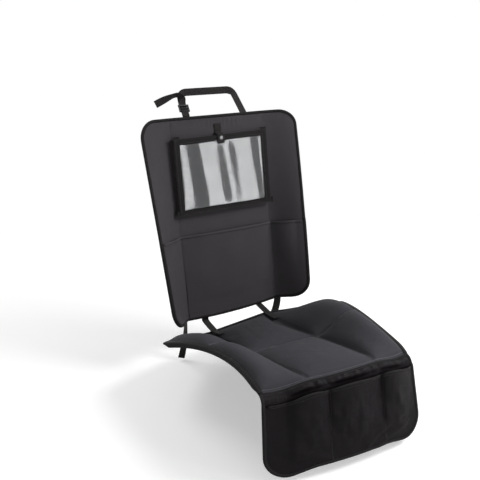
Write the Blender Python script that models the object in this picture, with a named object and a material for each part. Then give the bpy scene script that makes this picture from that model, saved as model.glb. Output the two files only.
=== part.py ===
# Car seat protector in the shape that it takes when it is worn.
# A back panel with a window pocket and a storage pocket, a quilted seat pad, a front flap with
# three pockets, and the webbing that joins and holds them.
# Metres, +Z up, the front towards -Y. The origin is on the underside of the seat pad.
import math

import bmesh
import bpy
from mathutils import Vector
from mathutils.bvhtree import BVHTree

for old in list(bpy.data.objects):
    bpy.data.objects.remove(old, do_unlink=True)

# Fabrics and fits
clearance = 0.0003
tape_gap = 0.0007
cloth_thickness = 0.0012
pocket_thickness = 0.0010
lining_thickness = 0.0008
tape_thickness = 0.0008
tape_cover = 0.0050
webbing_width = 0.0200
webbing_thickness = 0.0012

# Seat pad
seat_pitch = math.radians(15)
seat_front = 0.235
seat_front_bow = 0.012
seat_rear = 0.255
seat_corner = 0.146
seat_half_front = 0.196
seat_half_rear = 0.269
flare_start = -0.190
groove_half = 0.093
groove_spread = 0.032
bolster_lift = 0.054
bolster_peak = 0.020
bolster_fall = 0.80
bolster_crest = 0.80
bolster_roll = 0.05
foam_edge = 0.0030
foam_height = 0.0120
seam_inset = 0.07
foam_border = 0.14
tape_border = 0.07
rear_tape_border = 0.05
front_tape_border = 0.03
rear_curl = 0.013
rear_curl_share = 0.45

# Front flap
nose_radius = 0.018
seam_gap = 0.0008
flap_lean = math.radians(12)
flap_length = 0.2170
flap_flare = 0.07
flap_corner = 0.052
flap_hem = 0.0390
flap_gape = 0.012
flap_divider_left = -0.31
flap_divider_right = 0.49

# Back panel
back_recline = math.radians(10.24)
back_bottom_y = 0.3050
back_bottom_z = -0.020
back_bottom_bow = 0.016
back_bottom_skew = 0.009
back_top_skew = 0.005
back_length = 0.5396
back_half = 0.2285
back_half_bottom = 0.2080
back_valley = 0.1390
back_corner = 0.045
back_corner_band = 0.080
back_thickness = 0.0030
wing_forward_top = 0.022
wing_forward_bottom = 0.085

# Storage pocket
storage_height = 0.222
storage_gape = 0.012
side_gape = 0.005
pocket_inset = 0.0015

# Window pocket
window_half = 0.1385
window_bottom = 0.2820
window_top = 0.4880
window_depth = 0.0140
frame_side = 0.0170
frame_top = 0.0160
frame_bottom = 0.0150
frame_ear = 0.0070
gusset_wall = 0.0010
film_thickness = 0.0006
film_overlap = 0.0060

# Closure tab and its press stud
tab_rise = 0.030
tab_drop = 0.024
tab_turn = 0.003
stud_radius = 0.0055
stud_height = 0.0016
socket_radius = 0.0045

# Upper straps
upper_strap_x = 0.0850
upper_lap = 0.040
leg_y = 0.0500
leg_z = 0.0430
loop_x = 0.0800
loop_turn = 0.018
buckle_start = 0.020
buckle_bar = 0.0040
buckle_slot = 0.0050
buckle_middle_bar = 0.0035
buckle_side = 0.0035
buckle_thickness = 0.0030
tail_steps = 12
turn_steps = 6
tail_reach = 0.075
tail_turn = 0.34
tail_bend = 0.50
tail_run = 0.026
tail_rise = 0.018
tail_fall = 0.030

# Lower straps
link_strap_x = 0.0850
link_rise = 0.006
anchor_lean = 0.014
anchor_forward = 0.010
anchor_drop = 0.105
lower_lap = 0.035
foot_start = 0.238
foot_length = 0.046
foot_reach = 0.0015

protector = bpy.data.collections.new("car_seat_protector")
bpy.context.scene.collection.children.link(protector)


def fabric(name, colour, roughness, metallic=0.0):
    made = bpy.data.materials.new(name)
    made.use_nodes = True
    shader = made.node_tree.nodes["Principled BSDF"]
    shader.inputs["Base Color"].default_value = (*colour, 1.0)
    shader.inputs["Roughness"].default_value = roughness
    shader.inputs["Metallic"].default_value = metallic
    return made


def keep_object(name, shape, material):
    mesh = bpy.data.meshes.new(name)
    bmesh.ops.recalc_face_normals(shape, faces=shape.faces[:])
    if shape.calc_volume(signed=True) < 0:
        bmesh.ops.reverse_faces(shape, faces=shape.faces[:])
    shape.to_mesh(mesh)
    shape.free()
    mesh.materials.append(material)
    made = bpy.data.objects.new(name, mesh)
    protector.objects.link(made)
    return made


def ramp(value, start, end):
    return min(1.0, max(0.0, (value - start) / (end - start)))


def ease(value):
    return value * value * (3 - 2 * value)


def sheet(name, columns, rows, place, low, high, material, keep=None, looped=False):
    # A thin solid on a grid of columns and rows: place(column, row, height) gives each corner,
    # low and high give the heights of its two faces, keep drops cells, looped joins the ends.
    # The flat grid is cut into triangles first, so stacked sheets fold along the same lines.
    shape = bmesh.new()
    across = len(columns) - 1
    along = len(rows) - 1
    bmesh.ops.create_grid(shape, x_segments=across, y_segments=along, size=0.5)
    column_of = shape.verts.layers.int.new("column")
    row_of = shape.verts.layers.int.new("row")
    for corner in shape.verts:
        corner[column_of] = round((corner.co.x + 0.5) * across)
        corner[row_of] = round((corner.co.y + 0.5) * along)
    if keep:
        dropped = []
        for face in shape.faces:
            column = min(corner[column_of] for corner in face.verts)
            row = min(corner[row_of] for corner in face.verts)
            if not keep(column, row):
                dropped.append(face)
        bmesh.ops.delete(shape, geom=dropped, context="FACES")
    if looped:
        first = {corner[row_of]: corner for corner in shape.verts if corner[column_of] == 0}
        joined = {corner: first[corner[row_of]] for corner in shape.verts if corner[column_of] == across}
        bmesh.ops.weld_verts(shape, targetmap=joined)
    bmesh.ops.triangulate(shape, faces=shape.faces[:], quad_method="FIXED")
    raised = bmesh.ops.extrude_face_region(shape, geom=shape.faces[:])["geom"]
    upper = {part for part in raised if isinstance(part, bmesh.types.BMVert)}
    for corner in shape.verts:
        column = columns[corner[column_of]]
        row = rows[corner[row_of]]
        height = high(column, row) if corner in upper else low(column, row)
        corner.co = place(column, row, height)
    return keep_object(name, shape, material)


def level(height):
    return lambda column, row: height


def mirrored(values):
    return [-value for value in reversed(values) if value > 0] + list(values)


def surface_normal(base, u, v, step):
    side = base(u + step, v) - base(u - step, v)
    up = base(u, v + step) - base(u, v - step)
    return side.cross(up).normalized()


# Edge tapes: a U of tape folded over the edge of the layers that it holds
def tape_node(place, inward, before, after, low, high):
    # inward lists the grid corners from the edge towards the middle.
    def corners_at(height):
        return [place(u, v, height) for u, v in inward]

    edge, inner = corners_at(low)[:2]
    run = place(*after, low) - place(*before, low)
    outward = edge - inner
    outward = (outward - run.normalized() * outward.dot(run.normalized())).normalized()
    lean = max(0.45, outward.dot((edge - inner).normalized()))

    def at(reach, height):
        corners = corners_at(height)
        if reach >= 0:
            return corners[0] + outward * reach
        left = -reach / lean
        for near, far in zip(corners, corners[1:]):
            span = (far - near).length
            if left <= span:
                return near.lerp(far, left / span)
            left -= span
        return corners[-1]

    return at, low, high


def edge_tape(name, nodes, material, looped=False):
    inner = [(-tape_cover, 1), (tape_gap, 1), (tape_gap, -1), (-tape_cover, -1)]

    def place(node, row, outer):
        at, low, high = nodes[node % len(nodes)]
        reach, side = inner[row]
        grow = tape_gap + tape_thickness * outer
        height = high + grow if side > 0 else low - grow
        if reach > 0:
            reach += tape_thickness * outer
        return at(reach, height)

    count = len(nodes) + (1 if looped else 0)
    return sheet(name, range(count), range(4), place, level(0), level(1), material, looped=looped)


def ribbon(name, points, widths, material, width=webbing_width, thickness=webbing_thickness):
    # A flat strap along points, with one width direction for each point.
    frames = []
    for index, point in enumerate(points):
        back = (point - points[max(index - 1, 0)]).normalized()
        ahead = (points[min(index + 1, len(points) - 1)] - point).normalized()
        run = (back + ahead).normalized()
        broad = (widths[index] - run * widths[index].dot(run)).normalized()
        out = run.cross(broad)
        turn = max(0.5, ahead.dot(run)) if index < len(points) - 1 else 1.0
        frames.append((point, broad, out / turn))

    def place(index, side, height):
        point, broad, out = frames[index]
        return point + broad * (side * width / 2) + out * height

    faces = level(-thickness / 2), level(thickness / 2)
    return sheet(name, range(len(points)), (-1, 1), place, *faces, material)


# Materials
polyester = fabric("black_polyester", (0.048, 0.044, 0.048), 0.62)
nylon = fabric("black_nylon", (0.019, 0.017, 0.019), 0.45)
quilting = fabric("charcoal_quilting", (0.056, 0.054, 0.063), 0.80)
lining_cloth = fabric("black_lining", (0.030, 0.029, 0.030), 0.75)
grip_cloth = fabric("grip_backing", (0.018, 0.018, 0.019), 0.85)
foam = fabric("grey_foam", (0.30, 0.30, 0.31), 0.90)
tape_cloth = fabric("binding_tape", (0.020, 0.018, 0.019), 0.70)
webbing = fabric("black_webbing", (0.036, 0.033, 0.031), 0.70)
clear_film = fabric("clear_film", (0.80, 0.82, 0.83), 0.10)
black_plastic = fabric("black_plastic", (0.015, 0.015, 0.016), 0.40)
steel = fabric("stud_steel", (0.60, 0.60, 0.61), 0.28, 1.0)


# Seat pad: across runs from -2 to 2 with the grooves at -1 and 1,
# along runs from 0 at the rear edge through 1 at the cross seam to 2 at the front seam.
def seat_half(y):
    spread = ramp(y, flare_start, seat_corner)
    return seat_half_front + (seat_half_rear - seat_half_front) * spread * spread


def seat_base(across, along):
    side = max(abs(across) - 1, 0)
    rear = seat_rear - (seat_rear - seat_corner) * side * side
    front = -seat_front - seat_front_bow * (1 - across * across / 4)
    y = rear * (1 - along) if along < 1 else front * (along - 1)
    groove = groove_half + groove_spread * y
    x = math.copysign(groove * min(abs(across), 1) + (seat_half(y) - groove) * side, across)
    lift = bolster_lift - bolster_fall * (y - bolster_peak) ** 2
    curl = rear_curl * ramp(along, rear_curl_share, 0) ** 2 * (1 - ease(min(side, 1)))
    crest = ease(ramp(side, 0, bolster_crest)) - bolster_roll * ramp(side, bolster_crest, 1) ** 2
    return Vector((x, y, lift * crest + curl - math.tan(seat_pitch) * y))


def seat_place(across, along, height):
    normal = surface_normal(seat_base, across, along, 0.01)
    if normal.z < 0:
        normal = -normal
    return seat_base(across, along) + normal * height


def span_fill(value, start, end):
    middle = (start + end) / 2
    return (value - middle) / ((end - start) / 2)


centre_start = 1 - seam_inset
side_start = 1 + seam_inset
side_end = 2 - foam_border
rear_start = 2 * rear_tape_border
rear_end = 1 - seam_inset / 2
front_start = 1 + seam_inset / 2
front_end = 2 - 2 * front_tape_border


def foam_thickness(across, along):
    side = abs(across)
    if side <= centre_start:
        u = side / centre_start
    elif side_start <= side <= side_end:
        u = span_fill(side, side_start, side_end)
    else:
        return 0.0
    if rear_start <= along <= rear_end:
        v = span_fill(along, rear_start, rear_end)
    elif front_start <= along <= front_end:
        v = span_fill(along, front_start, front_end)
    else:
        return 0.0
    return foam_edge + (foam_height - foam_edge) * (1 - u ** 4) * (1 - v ** 4)


def spread(start, end, parts):
    return [start + (end - start) * part / parts for part in range(parts + 1)]


centre_columns = spread(0, centre_start, 2)
side_columns = spread(side_start, side_end, 4)
rear_rows = spread(rear_start, rear_end, 4)
front_rows = spread(front_start, front_end, 4)
seat_columns = mirrored(centre_columns + [1] + side_columns + [2 - tape_border, 2])
seat_rows = [0, rear_tape_border] + rear_rows + [1] + front_rows + [2 - front_tape_border, 2]
backing_top = cloth_thickness
foam_low = backing_top + clearance


def foam_top(across, along):
    return foam_low + foam_thickness(across, along)


def cover_low(across, along):
    return foam_top(across, along) + clearance


def cover_high(across, along):
    return cover_low(across, along) + cloth_thickness


backing_columns = [u for u in seat_columns if abs(u) != centre_start]
sheet("seat_backing", backing_columns, seat_rows, seat_place, level(0), level(backing_top), grip_cloth)
seat_cover = sheet("seat_cover", seat_columns, seat_rows, seat_place, cover_low, cover_high, quilting)
for place_name, rows in (("rear", rear_rows), ("front", front_rows)):
    left = [-value for value in reversed(side_columns)]
    middle = mirrored(centre_columns)
    for side_name, columns in (("left", left), ("centre", middle), ("right", side_columns)):
        node = f"foam_{place_name}_{side_name}"
        sheet(node, columns, rows, seat_place, level(foam_low), foam_top, foam)

edge_high = cover_high(2, 0)


def seat_edge_nodes():
    nodes = []
    last = len(seat_rows) - 1
    for side in (-1, 1):
        order = range(last, 0, -1) if side < 0 else range(1, last + 1)
        for row in order:
            v = seat_rows[row]
            inward = [(side * u, v) for u in (2, 2 - tape_border, side_end)]
            before = (side * 2, seat_rows[max(row - 1, 0)])
            after = (side * 2, seat_rows[min(row + 1, last)])
            nodes.append(tape_node(seat_place, inward, before, after, 0, edge_high))
        if side < 0:
            nodes.extend(rear_edge_nodes())
    return nodes


def rear_edge_nodes():
    nodes = []
    for index, u in enumerate(seat_columns):
        inner = [u, u, u]
        if abs(u) == 2:
            inner = [u, math.copysign(2 - tape_border, u), math.copysign(side_end, u)]
        inward = list(zip(inner, (0, rear_tape_border, rear_start)))
        before = (seat_columns[max(index - 1, 0)], 0 if index else rear_tape_border)
        is_last = index == len(seat_columns) - 1
        after = (seat_columns[min(index + 1, len(seat_columns) - 1)], rear_tape_border if is_last else 0)
        nodes.append(tape_node(seat_place, inward, before, after, 0, edge_high))
    return nodes


edge_tape("seat_binding", seat_edge_nodes(), tape_cloth)


# Front flap: across runs from -1 to 1, down is the distance from the front seam
flap_turn = math.pi / 2 - flap_lean + seat_pitch
nose_length = nose_radius * flap_turn


def flap_trim(across):
    inset = abs(across) * seat_half_front - (seat_half_front - flap_corner)
    if inset <= 0:
        return 0.0
    return flap_corner - math.sqrt(max(flap_corner ** 2 - inset ** 2, 0))


trim_start = flap_length - 2 * flap_corner


def trim_share(across):
    return 1 - flap_trim(across) / (flap_length - trim_start)


def flap_row_at(across, down):
    # The row that comes to this distance from the seam in this column.
    return trim_start + (down - trim_start) / trim_share(across) if down > trim_start else down


def flap_place(across, down, height):
    if down > trim_start:
        down = trim_start + (down - trim_start) * trim_share(across)
    start = seat_base(2 * across, 2)
    turned = min(down / nose_radius, flap_turn)
    aim = seat_pitch - turned
    straight = max(down - nose_length, 0)
    y = nose_radius * (math.sin(aim) - math.sin(seat_pitch)) - straight * math.cos(aim)
    z = nose_radius * (math.cos(aim) - math.cos(seat_pitch)) + straight * math.sin(aim)
    x = start.x * (1 + flap_flare * down / flap_length)
    base = Vector((x, start.y + y, start.z + z))
    seat_normal = surface_normal(seat_base, 2 * across, 2, 0.01)
    if seat_normal.z < 0:
        seat_normal = -seat_normal
    flap_normal = Vector((0, math.sin(aim), math.cos(aim)))
    normal = seat_normal.lerp(flap_normal, ramp(down, 0, nose_length / 2)).normalized()
    return base + normal * height


corner_share = 1 - flap_corner / seat_half_front
corner_angles = [math.radians(angle) for angle in (0, 30, 60, 90)]
corner_columns = [corner_share + (1 - corner_share) * math.sin(angle) for angle in corner_angles]
compartments = (
    (-corner_columns[2], flap_divider_left),
    (flap_divider_left, flap_divider_right),
    (flap_divider_right, corner_columns[2]),
)
pocket_inner = spread(flap_divider_left, flap_divider_right, 6)
pocket_left = spread(-corner_share, flap_divider_left, 3)[:-1]
pocket_right = spread(flap_divider_right, corner_share, 2)[1:]
outer_columns = corner_columns[1:]
flap_columns = [-value for value in reversed(outer_columns)]
flap_columns += pocket_left + pocket_inner + pocket_right + outer_columns
nose_rows = spread(seam_gap, nose_length, 4)
fall_rows = [flap_hem] + spread(flap_hem, trim_start, 3)[1:]
foot_rows = spread(trim_start, flap_length, 4)[1:]
flap_rows = nose_rows + fall_rows + foot_rows
pocket_rows = fall_rows + foot_rows
hem_room = 2 * tape_gap + tape_thickness
flap_pocket_low = cloth_thickness + hem_room


def flap_bulge(across, down):
    for start, end in compartments:
        if start < across < end:
            belly = math.sin(math.pi * (across - start) / (end - start))
            depth = ramp(down, flap_length - flap_corner / 2, flap_hem)
            return flap_gape * belly ** 0.7 * depth ** 0.8
    return 0.0


def flap_pocket_face(across, down):
    return flap_pocket_low + flap_bulge(across, down)


def flap_pocket_front(across, down):
    return flap_pocket_face(across, down) + pocket_thickness


sheet("front_flap", flap_columns, flap_rows, flap_place, level(0), level(cloth_thickness), nylon)
sheet("flap_pocket", flap_columns, pocket_rows, flap_place, flap_pocket_face, flap_pocket_front, nylon)


def flap_edge_nodes():
    nodes = []
    last_column = len(flap_columns) - 1
    last_row = len(flap_rows) - 1

    def node(inward, before, after):
        down = inward[0][1]
        high = flap_pocket_low + pocket_thickness if down > flap_hem - clearance else cloth_thickness
        nodes.append(tape_node(flap_place, inward, before, after, 0, high))

    for side in (-1, 1):
        edge_columns = (1, outer_columns[1], outer_columns[0])
        order = range(0, last_row + 1) if side < 0 else range(last_row, -1, -1)
        for row in order:
            reached = flap_rows[row]
            if reached > trim_start:
                reached = trim_start + (reached - trim_start) * trim_share(1)
            inward = [(side * u, flap_row_at(u, reached)) for u in edge_columns]
            before = (side, flap_rows[max(row - 1, 0)])
            after = (side, flap_rows[min(row + 1, last_row)])
            node(inward, before, after)
        if side < 0:
            for column in range(1, last_column):
                u = flap_columns[column]
                inward = [(u, flap_rows[last_row - step]) for step in range(3)]
                before = (flap_columns[column - 1], flap_length)
                after = (flap_columns[column + 1], flap_length)
                node(inward, before, after)
    return nodes


edge_tape("flap_binding", flap_edge_nodes(), tape_cloth)


def pocket_hem_nodes():
    nodes = []
    columns = [u for u in flap_columns if abs(u) < outer_columns[1]]
    for index, u in enumerate(columns):
        inward = [(u, flap_hem), (u, fall_rows[1])]
        before = (columns[max(index - 1, 0)], flap_hem)
        after = (columns[min(index + 1, len(columns) - 1)], flap_hem)

        def on_pocket(across, down, height):
            return flap_place(across, down, flap_bulge(across, down) + height)

        high = flap_pocket_low + pocket_thickness
        nodes.append(tape_node(on_pocket, inward, before, after, flap_pocket_low, high))
    return nodes


edge_tape("flap_pocket_hem", pocket_hem_nodes(), tape_cloth)


# Back panel: across is the worn width, up is the distance along the panel from its bottom edge
def corner_inset(across):
    inset = abs(across) - (back_half - back_corner)
    if inset <= 0:
        return 0.0
    return back_corner - math.sqrt(max(back_corner ** 2 - inset ** 2, 0))


def rounded_up(across, up):
    # Rows bend up at the bottom corners and down at the top ones.
    inset = corner_inset(across)
    if up < back_corner_band:
        return inset + up * (1 - inset / back_corner_band)
    if up > back_length - back_corner_band:
        return back_length - inset - (back_length - up) * (1 - inset / back_corner_band)
    return up


def back_row_at(across, up):
    # The row that comes to this distance up the panel in this column.
    inset = corner_inset(across)
    if up < back_corner_band:
        return (up - inset) / (1 - inset / back_corner_band)
    if up > back_length - back_corner_band:
        return back_length - (back_length - inset - up) / (1 - inset / back_corner_band)
    return up


def back_base(across, up):
    up = rounded_up(across, up)
    share = up / back_length
    side = across / back_half
    sag = back_bottom_skew * side - back_bottom_bow * (1 - side * side)
    up += sag * ramp(up, storage_height, 0) - back_top_skew * side * ramp(up, window_top, back_length)
    wing = max(abs(across) - back_valley, 0) / (back_half - back_valley)
    edge = back_half_bottom + (back_half - back_half_bottom) * share
    x = math.copysign(min(abs(across), back_valley) + (edge - back_valley) * wing, across)
    forward = wing_forward_bottom + (wing_forward_top - wing_forward_bottom) * share
    bend = (wing + ease(min(wing, 1.0))) / 2
    y = back_bottom_y + up * math.sin(back_recline) - forward * bend * math.cos(back_recline)
    z = back_bottom_z + up * math.cos(back_recline) + forward * bend * math.sin(back_recline)
    return Vector((x, y, z))


def back_place(across, up, height):
    normal = surface_normal(back_base, across, up, 0.0005)
    if normal.y > 0:
        normal = -normal
    return back_base(across, up) + normal * height


round_start = back_half - back_corner
wing_columns = spread(back_valley, round_start, 3)[1:]
round_columns = [round_start + back_corner * math.sin(angle) for angle in corner_angles[1:]]
back_columns = mirrored([0, back_valley / 2, back_valley] + wing_columns + round_columns)
bottom_rows = spread(0, back_corner_band, 4)
top_rows = spread(back_length - back_corner_band, back_length, 4)
storage_rows = bottom_rows + spread(back_corner_band, storage_height, 3)[1:]
back_rows = storage_rows + spread(storage_height, back_length - back_corner_band, 4)[1:] + top_rows[1:]
lining_low = -clearance - lining_thickness
storage_low = back_thickness + hem_room

sheet("back_lining", back_columns, back_rows, back_place, level(lining_low), level(-clearance), lining_cloth)
sheet("back_panel", back_columns, back_rows, back_place, level(0), level(back_thickness), polyester)

belly_columns = spread(0, back_valley, 4)
storage_columns = mirrored(belly_columns + wing_columns + round_columns)


def storage_bulge(across, up):
    rise = ramp(up, back_corner, storage_height) ** 0.8
    side = abs(across)
    if side < back_valley:
        return storage_gape * math.cos(math.pi / 2 * side / back_valley) ** 0.7 * rise
    outer = round_columns[0]
    if side < outer:
        return side_gape * math.sin(math.pi * (side - back_valley) / (outer - back_valley)) * rise
    return 0.0


def storage_face(across, up):
    return storage_low + storage_bulge(across, up)


def storage_front(across, up):
    return storage_face(across, up) + pocket_thickness


pocket_rows_up = [pocket_inset] + storage_rows[1:]
sheet("storage_pocket", storage_columns, pocket_rows_up, back_place, storage_face, storage_front, polyester)


def back_edge_nodes():
    nodes = []
    columns = back_columns
    rows = back_rows
    last_column = len(columns) - 1
    last_row = len(rows) - 1

    def node(inward, before, after):
        up = inward[0][1]
        high = storage_low + pocket_thickness if up < storage_height + clearance else back_thickness
        nodes.append(tape_node(back_place, inward, before, after, lining_low, high))

    def side_path(row, side):
        reached = rounded_up(back_half, row)
        return [(side * u, back_row_at(u, reached)) for u in (back_half, round_columns[1], round_columns[0])]

    for column in range(1, last_column):
        inward = [(columns[column], rows[step]) for step in range(3)]
        node(inward, (columns[column - 1], 0), (columns[column + 1], 0))
    for row in range(0, last_row + 1):
        before = (back_half, rows[max(row - 1, 0)])
        after = (back_half, rows[min(row + 1, last_row)])
        node(side_path(rows[row], 1), before, after)
    for column in range(last_column - 1, 0, -1):
        inward = [(columns[column], rows[last_row - step]) for step in range(3)]
        node(inward, (columns[column - 1], back_length), (columns[column + 1], back_length))
    for row in range(last_row, -1, -1):
        before = (-back_half, rows[max(row - 1, 0)])
        after = (-back_half, rows[min(row + 1, last_row)])
        node(side_path(rows[row], -1), before, after)
    return nodes


edge_tape("back_binding", back_edge_nodes(), tape_cloth, looped=True)


def storage_hem_nodes():
    nodes = []
    columns = [u for u in storage_columns if abs(u) < round_columns[1]]
    inner_row = storage_rows[-2]
    for index, u in enumerate(columns):
        inward = [(u, storage_height), (u, inner_row)]
        before = (columns[max(index - 1, 0)], storage_height)
        after = (columns[min(index + 1, len(columns) - 1)], storage_height)

        def on_pocket(across, up, height):
            return back_place(across, up, storage_bulge(across, up) + height)

        high = storage_low + pocket_thickness
        nodes.append(tape_node(on_pocket, inward, before, after, storage_low, high))
    return nodes


edge_tape("storage_pocket_hem", storage_hem_nodes(), tape_cloth)


# Window pocket: a gusset on the panel, a clear film and a fabric frame over it
side_ways = Vector((1, 0, 0))
gusset_top = back_thickness + window_depth
film_low = gusset_top + clearance
frame_low = film_low + film_thickness + clearance
frame_high = frame_low + cloth_thickness


def window_place(across, up, height):
    # The window pocket stays flat, on the flat middle of the panel.
    return back_place(0, up, height) + side_ways * across


gusset_columns = (-window_half, -window_half + gusset_wall, window_half - gusset_wall, window_half)
gusset_rows = (window_bottom, window_bottom + gusset_wall, window_top)
gusset_base = back_thickness + clearance


def gusset_keep(column, row):
    return row == 0 or column != 1


sheet("window_gusset", gusset_columns, gusset_rows, window_place, level(gusset_base), level(gusset_top),
      polyester, keep=gusset_keep)

film_half = window_half - frame_side + film_overlap
film_columns = (-film_half, film_half)
film_rows = (window_bottom + frame_bottom - film_overlap, window_top - frame_top + film_overlap)
sheet("window_film", film_columns, film_rows, window_place, level(film_low), level(film_low + film_thickness),
      clear_film)

frame_columns = mirrored([window_half - frame_side, window_half, window_half + frame_ear])
frame_rows = (window_bottom, window_bottom + frame_bottom, window_top - frame_top, window_top,
              window_top + frame_ear)


def frame_keep(column, row):
    is_ear_column = column in (0, 4)
    is_ear_row = row == 3
    is_side = column in (1, 3)
    if is_ear_column:
        return row == 0
    if is_ear_row:
        return is_side
    return is_side or row in (0, 2)


sheet("window_frame", frame_columns, frame_rows, window_place, level(frame_low), level(frame_high), polyester,
      keep=frame_keep)


# Closure tab over the mouth of the window pocket, with a press stud
half_webbing = webbing_thickness / 2
socket_low = frame_high + clearance
tab_front = socket_low + stud_height + clearance + half_webbing
tab_back = back_thickness + clearance + half_webbing
tab_lift = window_top + frame_ear / 2
tab_path = [
    (window_top + tab_rise, tab_back),
    (tab_lift + 2 * tab_turn, tab_back),
    (tab_lift + tab_turn, tab_back + tab_turn / 3),
    (tab_lift, (tab_back + tab_front) / 2),
    (tab_lift - tab_turn / 3, tab_front - tab_turn / 3),
    (tab_lift - tab_turn, tab_front),
    (window_top - tab_drop, tab_front),
]
tab_points = [window_place(0, up, height) for up, height in tab_path]
ribbon("closure_tab", tab_points, [side_ways] * len(tab_points), webbing)


def stud(name, radius, low):
    shape = bmesh.new()
    bmesh.ops.create_cone(shape, cap_ends=True, segments=20, radius1=radius, radius2=radius * 0.8,
                          depth=stud_height)
    made = keep_object(name, shape, steel)
    centre_up = window_top - frame_top / 2
    made.location = back_place(0, centre_up, low + stud_height / 2)
    facing = back_place(0, centre_up, 1) - back_place(0, centre_up, 0)
    made.rotation_euler = facing.to_track_quat("Z", "Y").to_euler()
    made.data.shade_smooth()
    made.data.set_sharp_from_angle(angle=math.radians(40))
    return made


stud("stud_socket", socket_radius, socket_low)
stud("stud_cap", stud_radius, tab_front + half_webbing + clearance)


# Upper straps: two legs that join in a loop, a ladder lock and a loose tail
lap_height = lining_low - clearance - half_webbing
over_tape = lap_height - tape_thickness - tape_gap
standing_axis = Vector((0, math.sin(back_recline), math.cos(back_recline)))


def upper_lap_points(side):
    # The sewn end of an upper strap on the lining, then the step over the edge tape.
    ends = (
        (upper_lap, lap_height),
        (2.4 * tape_cover, lap_height),
        (1.5 * tape_cover, over_tape),
        (0, over_tape),
    )
    return [back_place(side * upper_strap_x, back_length - down, height) for down, height in ends]


def leg_rise(side):
    return Vector((side * (loop_x - upper_strap_x), leg_y, leg_z))


def turn_points(side):
    # The bend at the top of a leg, from the leg to the run across the top of the loop.
    start = upper_lap_points(side)[-1] + leg_rise(side)
    aim = leg_rise(side).normalized()
    points = []
    for step in range(turn_steps + 1):
        angle = math.pi / 2 * step / turn_steps
        inward = Vector((-side, 0, 0)) * (loop_turn * (1 - math.cos(angle)))
        points.append(start + inward + aim * (loop_turn * math.sin(angle)))
    return points


def twist_widths(start, end, count):
    # The strap turns between lying flat and standing on its edge.
    return [start.lerp(end, ease(step / (count - 1))) for step in range(count)]


fold_height = half_webbing + clearance / 2
left_laps = upper_lap_points(-1)
buckle_aim = leg_rise(-1).normalized()
buckle_out = side_ways.cross(buckle_aim).normalized()
buckle_across = buckle_aim.cross(buckle_out).normalized()
buckle_origin = left_laps[-1] + buckle_aim * buckle_start + buckle_out * fold_height
inner_bar = buckle_bar
middle_start = inner_bar + buckle_slot
middle_end = middle_start + buckle_middle_bar
outer_start = middle_end + buckle_slot
outer_end = outer_start + buckle_bar
pass_height = buckle_thickness / 2 + clearance + half_webbing
under_height = pass_height + clearance + webbing_thickness
turn_side = clearance + half_webbing


def buckle_point(along, height, across=0.0):
    return buckle_origin + buckle_aim * along + buckle_out * height + buckle_across * across


weave = [
    buckle_point(outer_end + 3 * buckle_bar, -under_height),
    buckle_point(middle_start - turn_side, -under_height),
    buckle_point(middle_start - turn_side, pass_height),
    buckle_point(middle_end + turn_side, pass_height),
    buckle_point(middle_end + turn_side, -pass_height),
    buckle_point(outer_end + buckle_bar, -pass_height),
]


def tail_points():
    # The loose end rises clear of the buckle, turns out to the left and droops.
    points = []
    for step in range(1, tail_steps + 1):
        part = step / tail_steps
        along = outer_end + buckle_bar + tail_run * math.sin(math.pi / 2 * min(part / tail_bend, 1))
        height = -pass_height + tail_rise * ease(min(part / tail_turn, 1))
        across = -tail_reach * ramp(part, tail_turn / 2, 1) ** 1.3
        fall = Vector((0, 0, -tail_fall * part * part))
        points.append(buckle_point(along, height, across) + fall)
    return points


right_laps = upper_lap_points(1)
right_turn = turn_points(1)
left_turn = list(reversed(turn_points(-1)))
right_points = right_laps + right_turn + left_turn + weave + tail_points()
right_widths = [side_ways] * len(right_laps)
right_widths += twist_widths(side_ways, standing_axis, len(right_turn))
right_widths += twist_widths(standing_axis, -buckle_across, len(left_turn))
right_widths += [-buckle_across] * len(weave)
tail_flat = round(tail_steps * tail_turn)
right_widths += twist_widths(-buckle_across, -buckle_out, tail_flat)
right_widths += twist_widths(-buckle_out, -standing_axis, tail_steps - tail_flat)
ribbon("upper_strap_right", right_points, right_widths, webbing)

fold = [
    buckle_point(-2 * buckle_bar, -fold_height),
    buckle_point(-buckle_bar, -fold_height),
    buckle_point(0, -pass_height),
    buckle_point(inner_bar + turn_side, -pass_height),
    buckle_point(inner_bar + turn_side, pass_height),
    buckle_point(0, pass_height),
    buckle_point(-buckle_bar, fold_height),
    buckle_point(-4 * buckle_bar, fold_height),
]
left_widths = [side_ways] * len(left_laps) + [buckle_across] * len(fold)
ribbon("upper_strap_left", left_laps + fold, left_widths, webbing)

buckle_inner = webbing_width / 2 + 2 * clearance
buckle_columns = (-buckle_inner - buckle_side, -buckle_inner, buckle_inner, buckle_inner + buckle_side)
buckle_rows = (0, inner_bar, middle_start, middle_end, outer_start, outer_end)


def buckle_keep(column, row):
    return column != 1 or row % 2 == 0


def buckle_place(across, along, height):
    return buckle_point(along, height, across)


half_buckle = buckle_thickness / 2
sheet("strap_buckle", buckle_columns, buckle_rows, buckle_place, level(-half_buckle), level(half_buckle),
      black_plastic, keep=buckle_keep)


# Lower straps: two link straps sewn on the seat pad and two anchor straps that go down behind it
cover_tree = BVHTree.FromPolygons([corner.co for corner in seat_cover.data.vertices],
                                  [face.vertices for face in seat_cover.data.polygons])


def pad_height(x, y):
    found = cover_tree.ray_cast(Vector((x, y, 1)), Vector((0, 0, -1)))[0]
    return found.z


def foot_point(x, y):
    rest = max(pad_height(x + side * webbing_width / 2, y + reach)
               for side in (-1, -0.5, 0, 0.5, 1) for reach in (-foot_reach, 0, foot_reach))
    return Vector((x, y, rest + clearance + half_webbing))


def straight_lap(place):
    # The sewn end of a lower strap on the lining, then the step over the edge tape.
    return [
        place(lower_lap, lap_height),
        place(2.4 * tape_cover, lap_height),
        place(1.5 * tape_cover, over_tape),
        place(0, over_tape),
    ]


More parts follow.
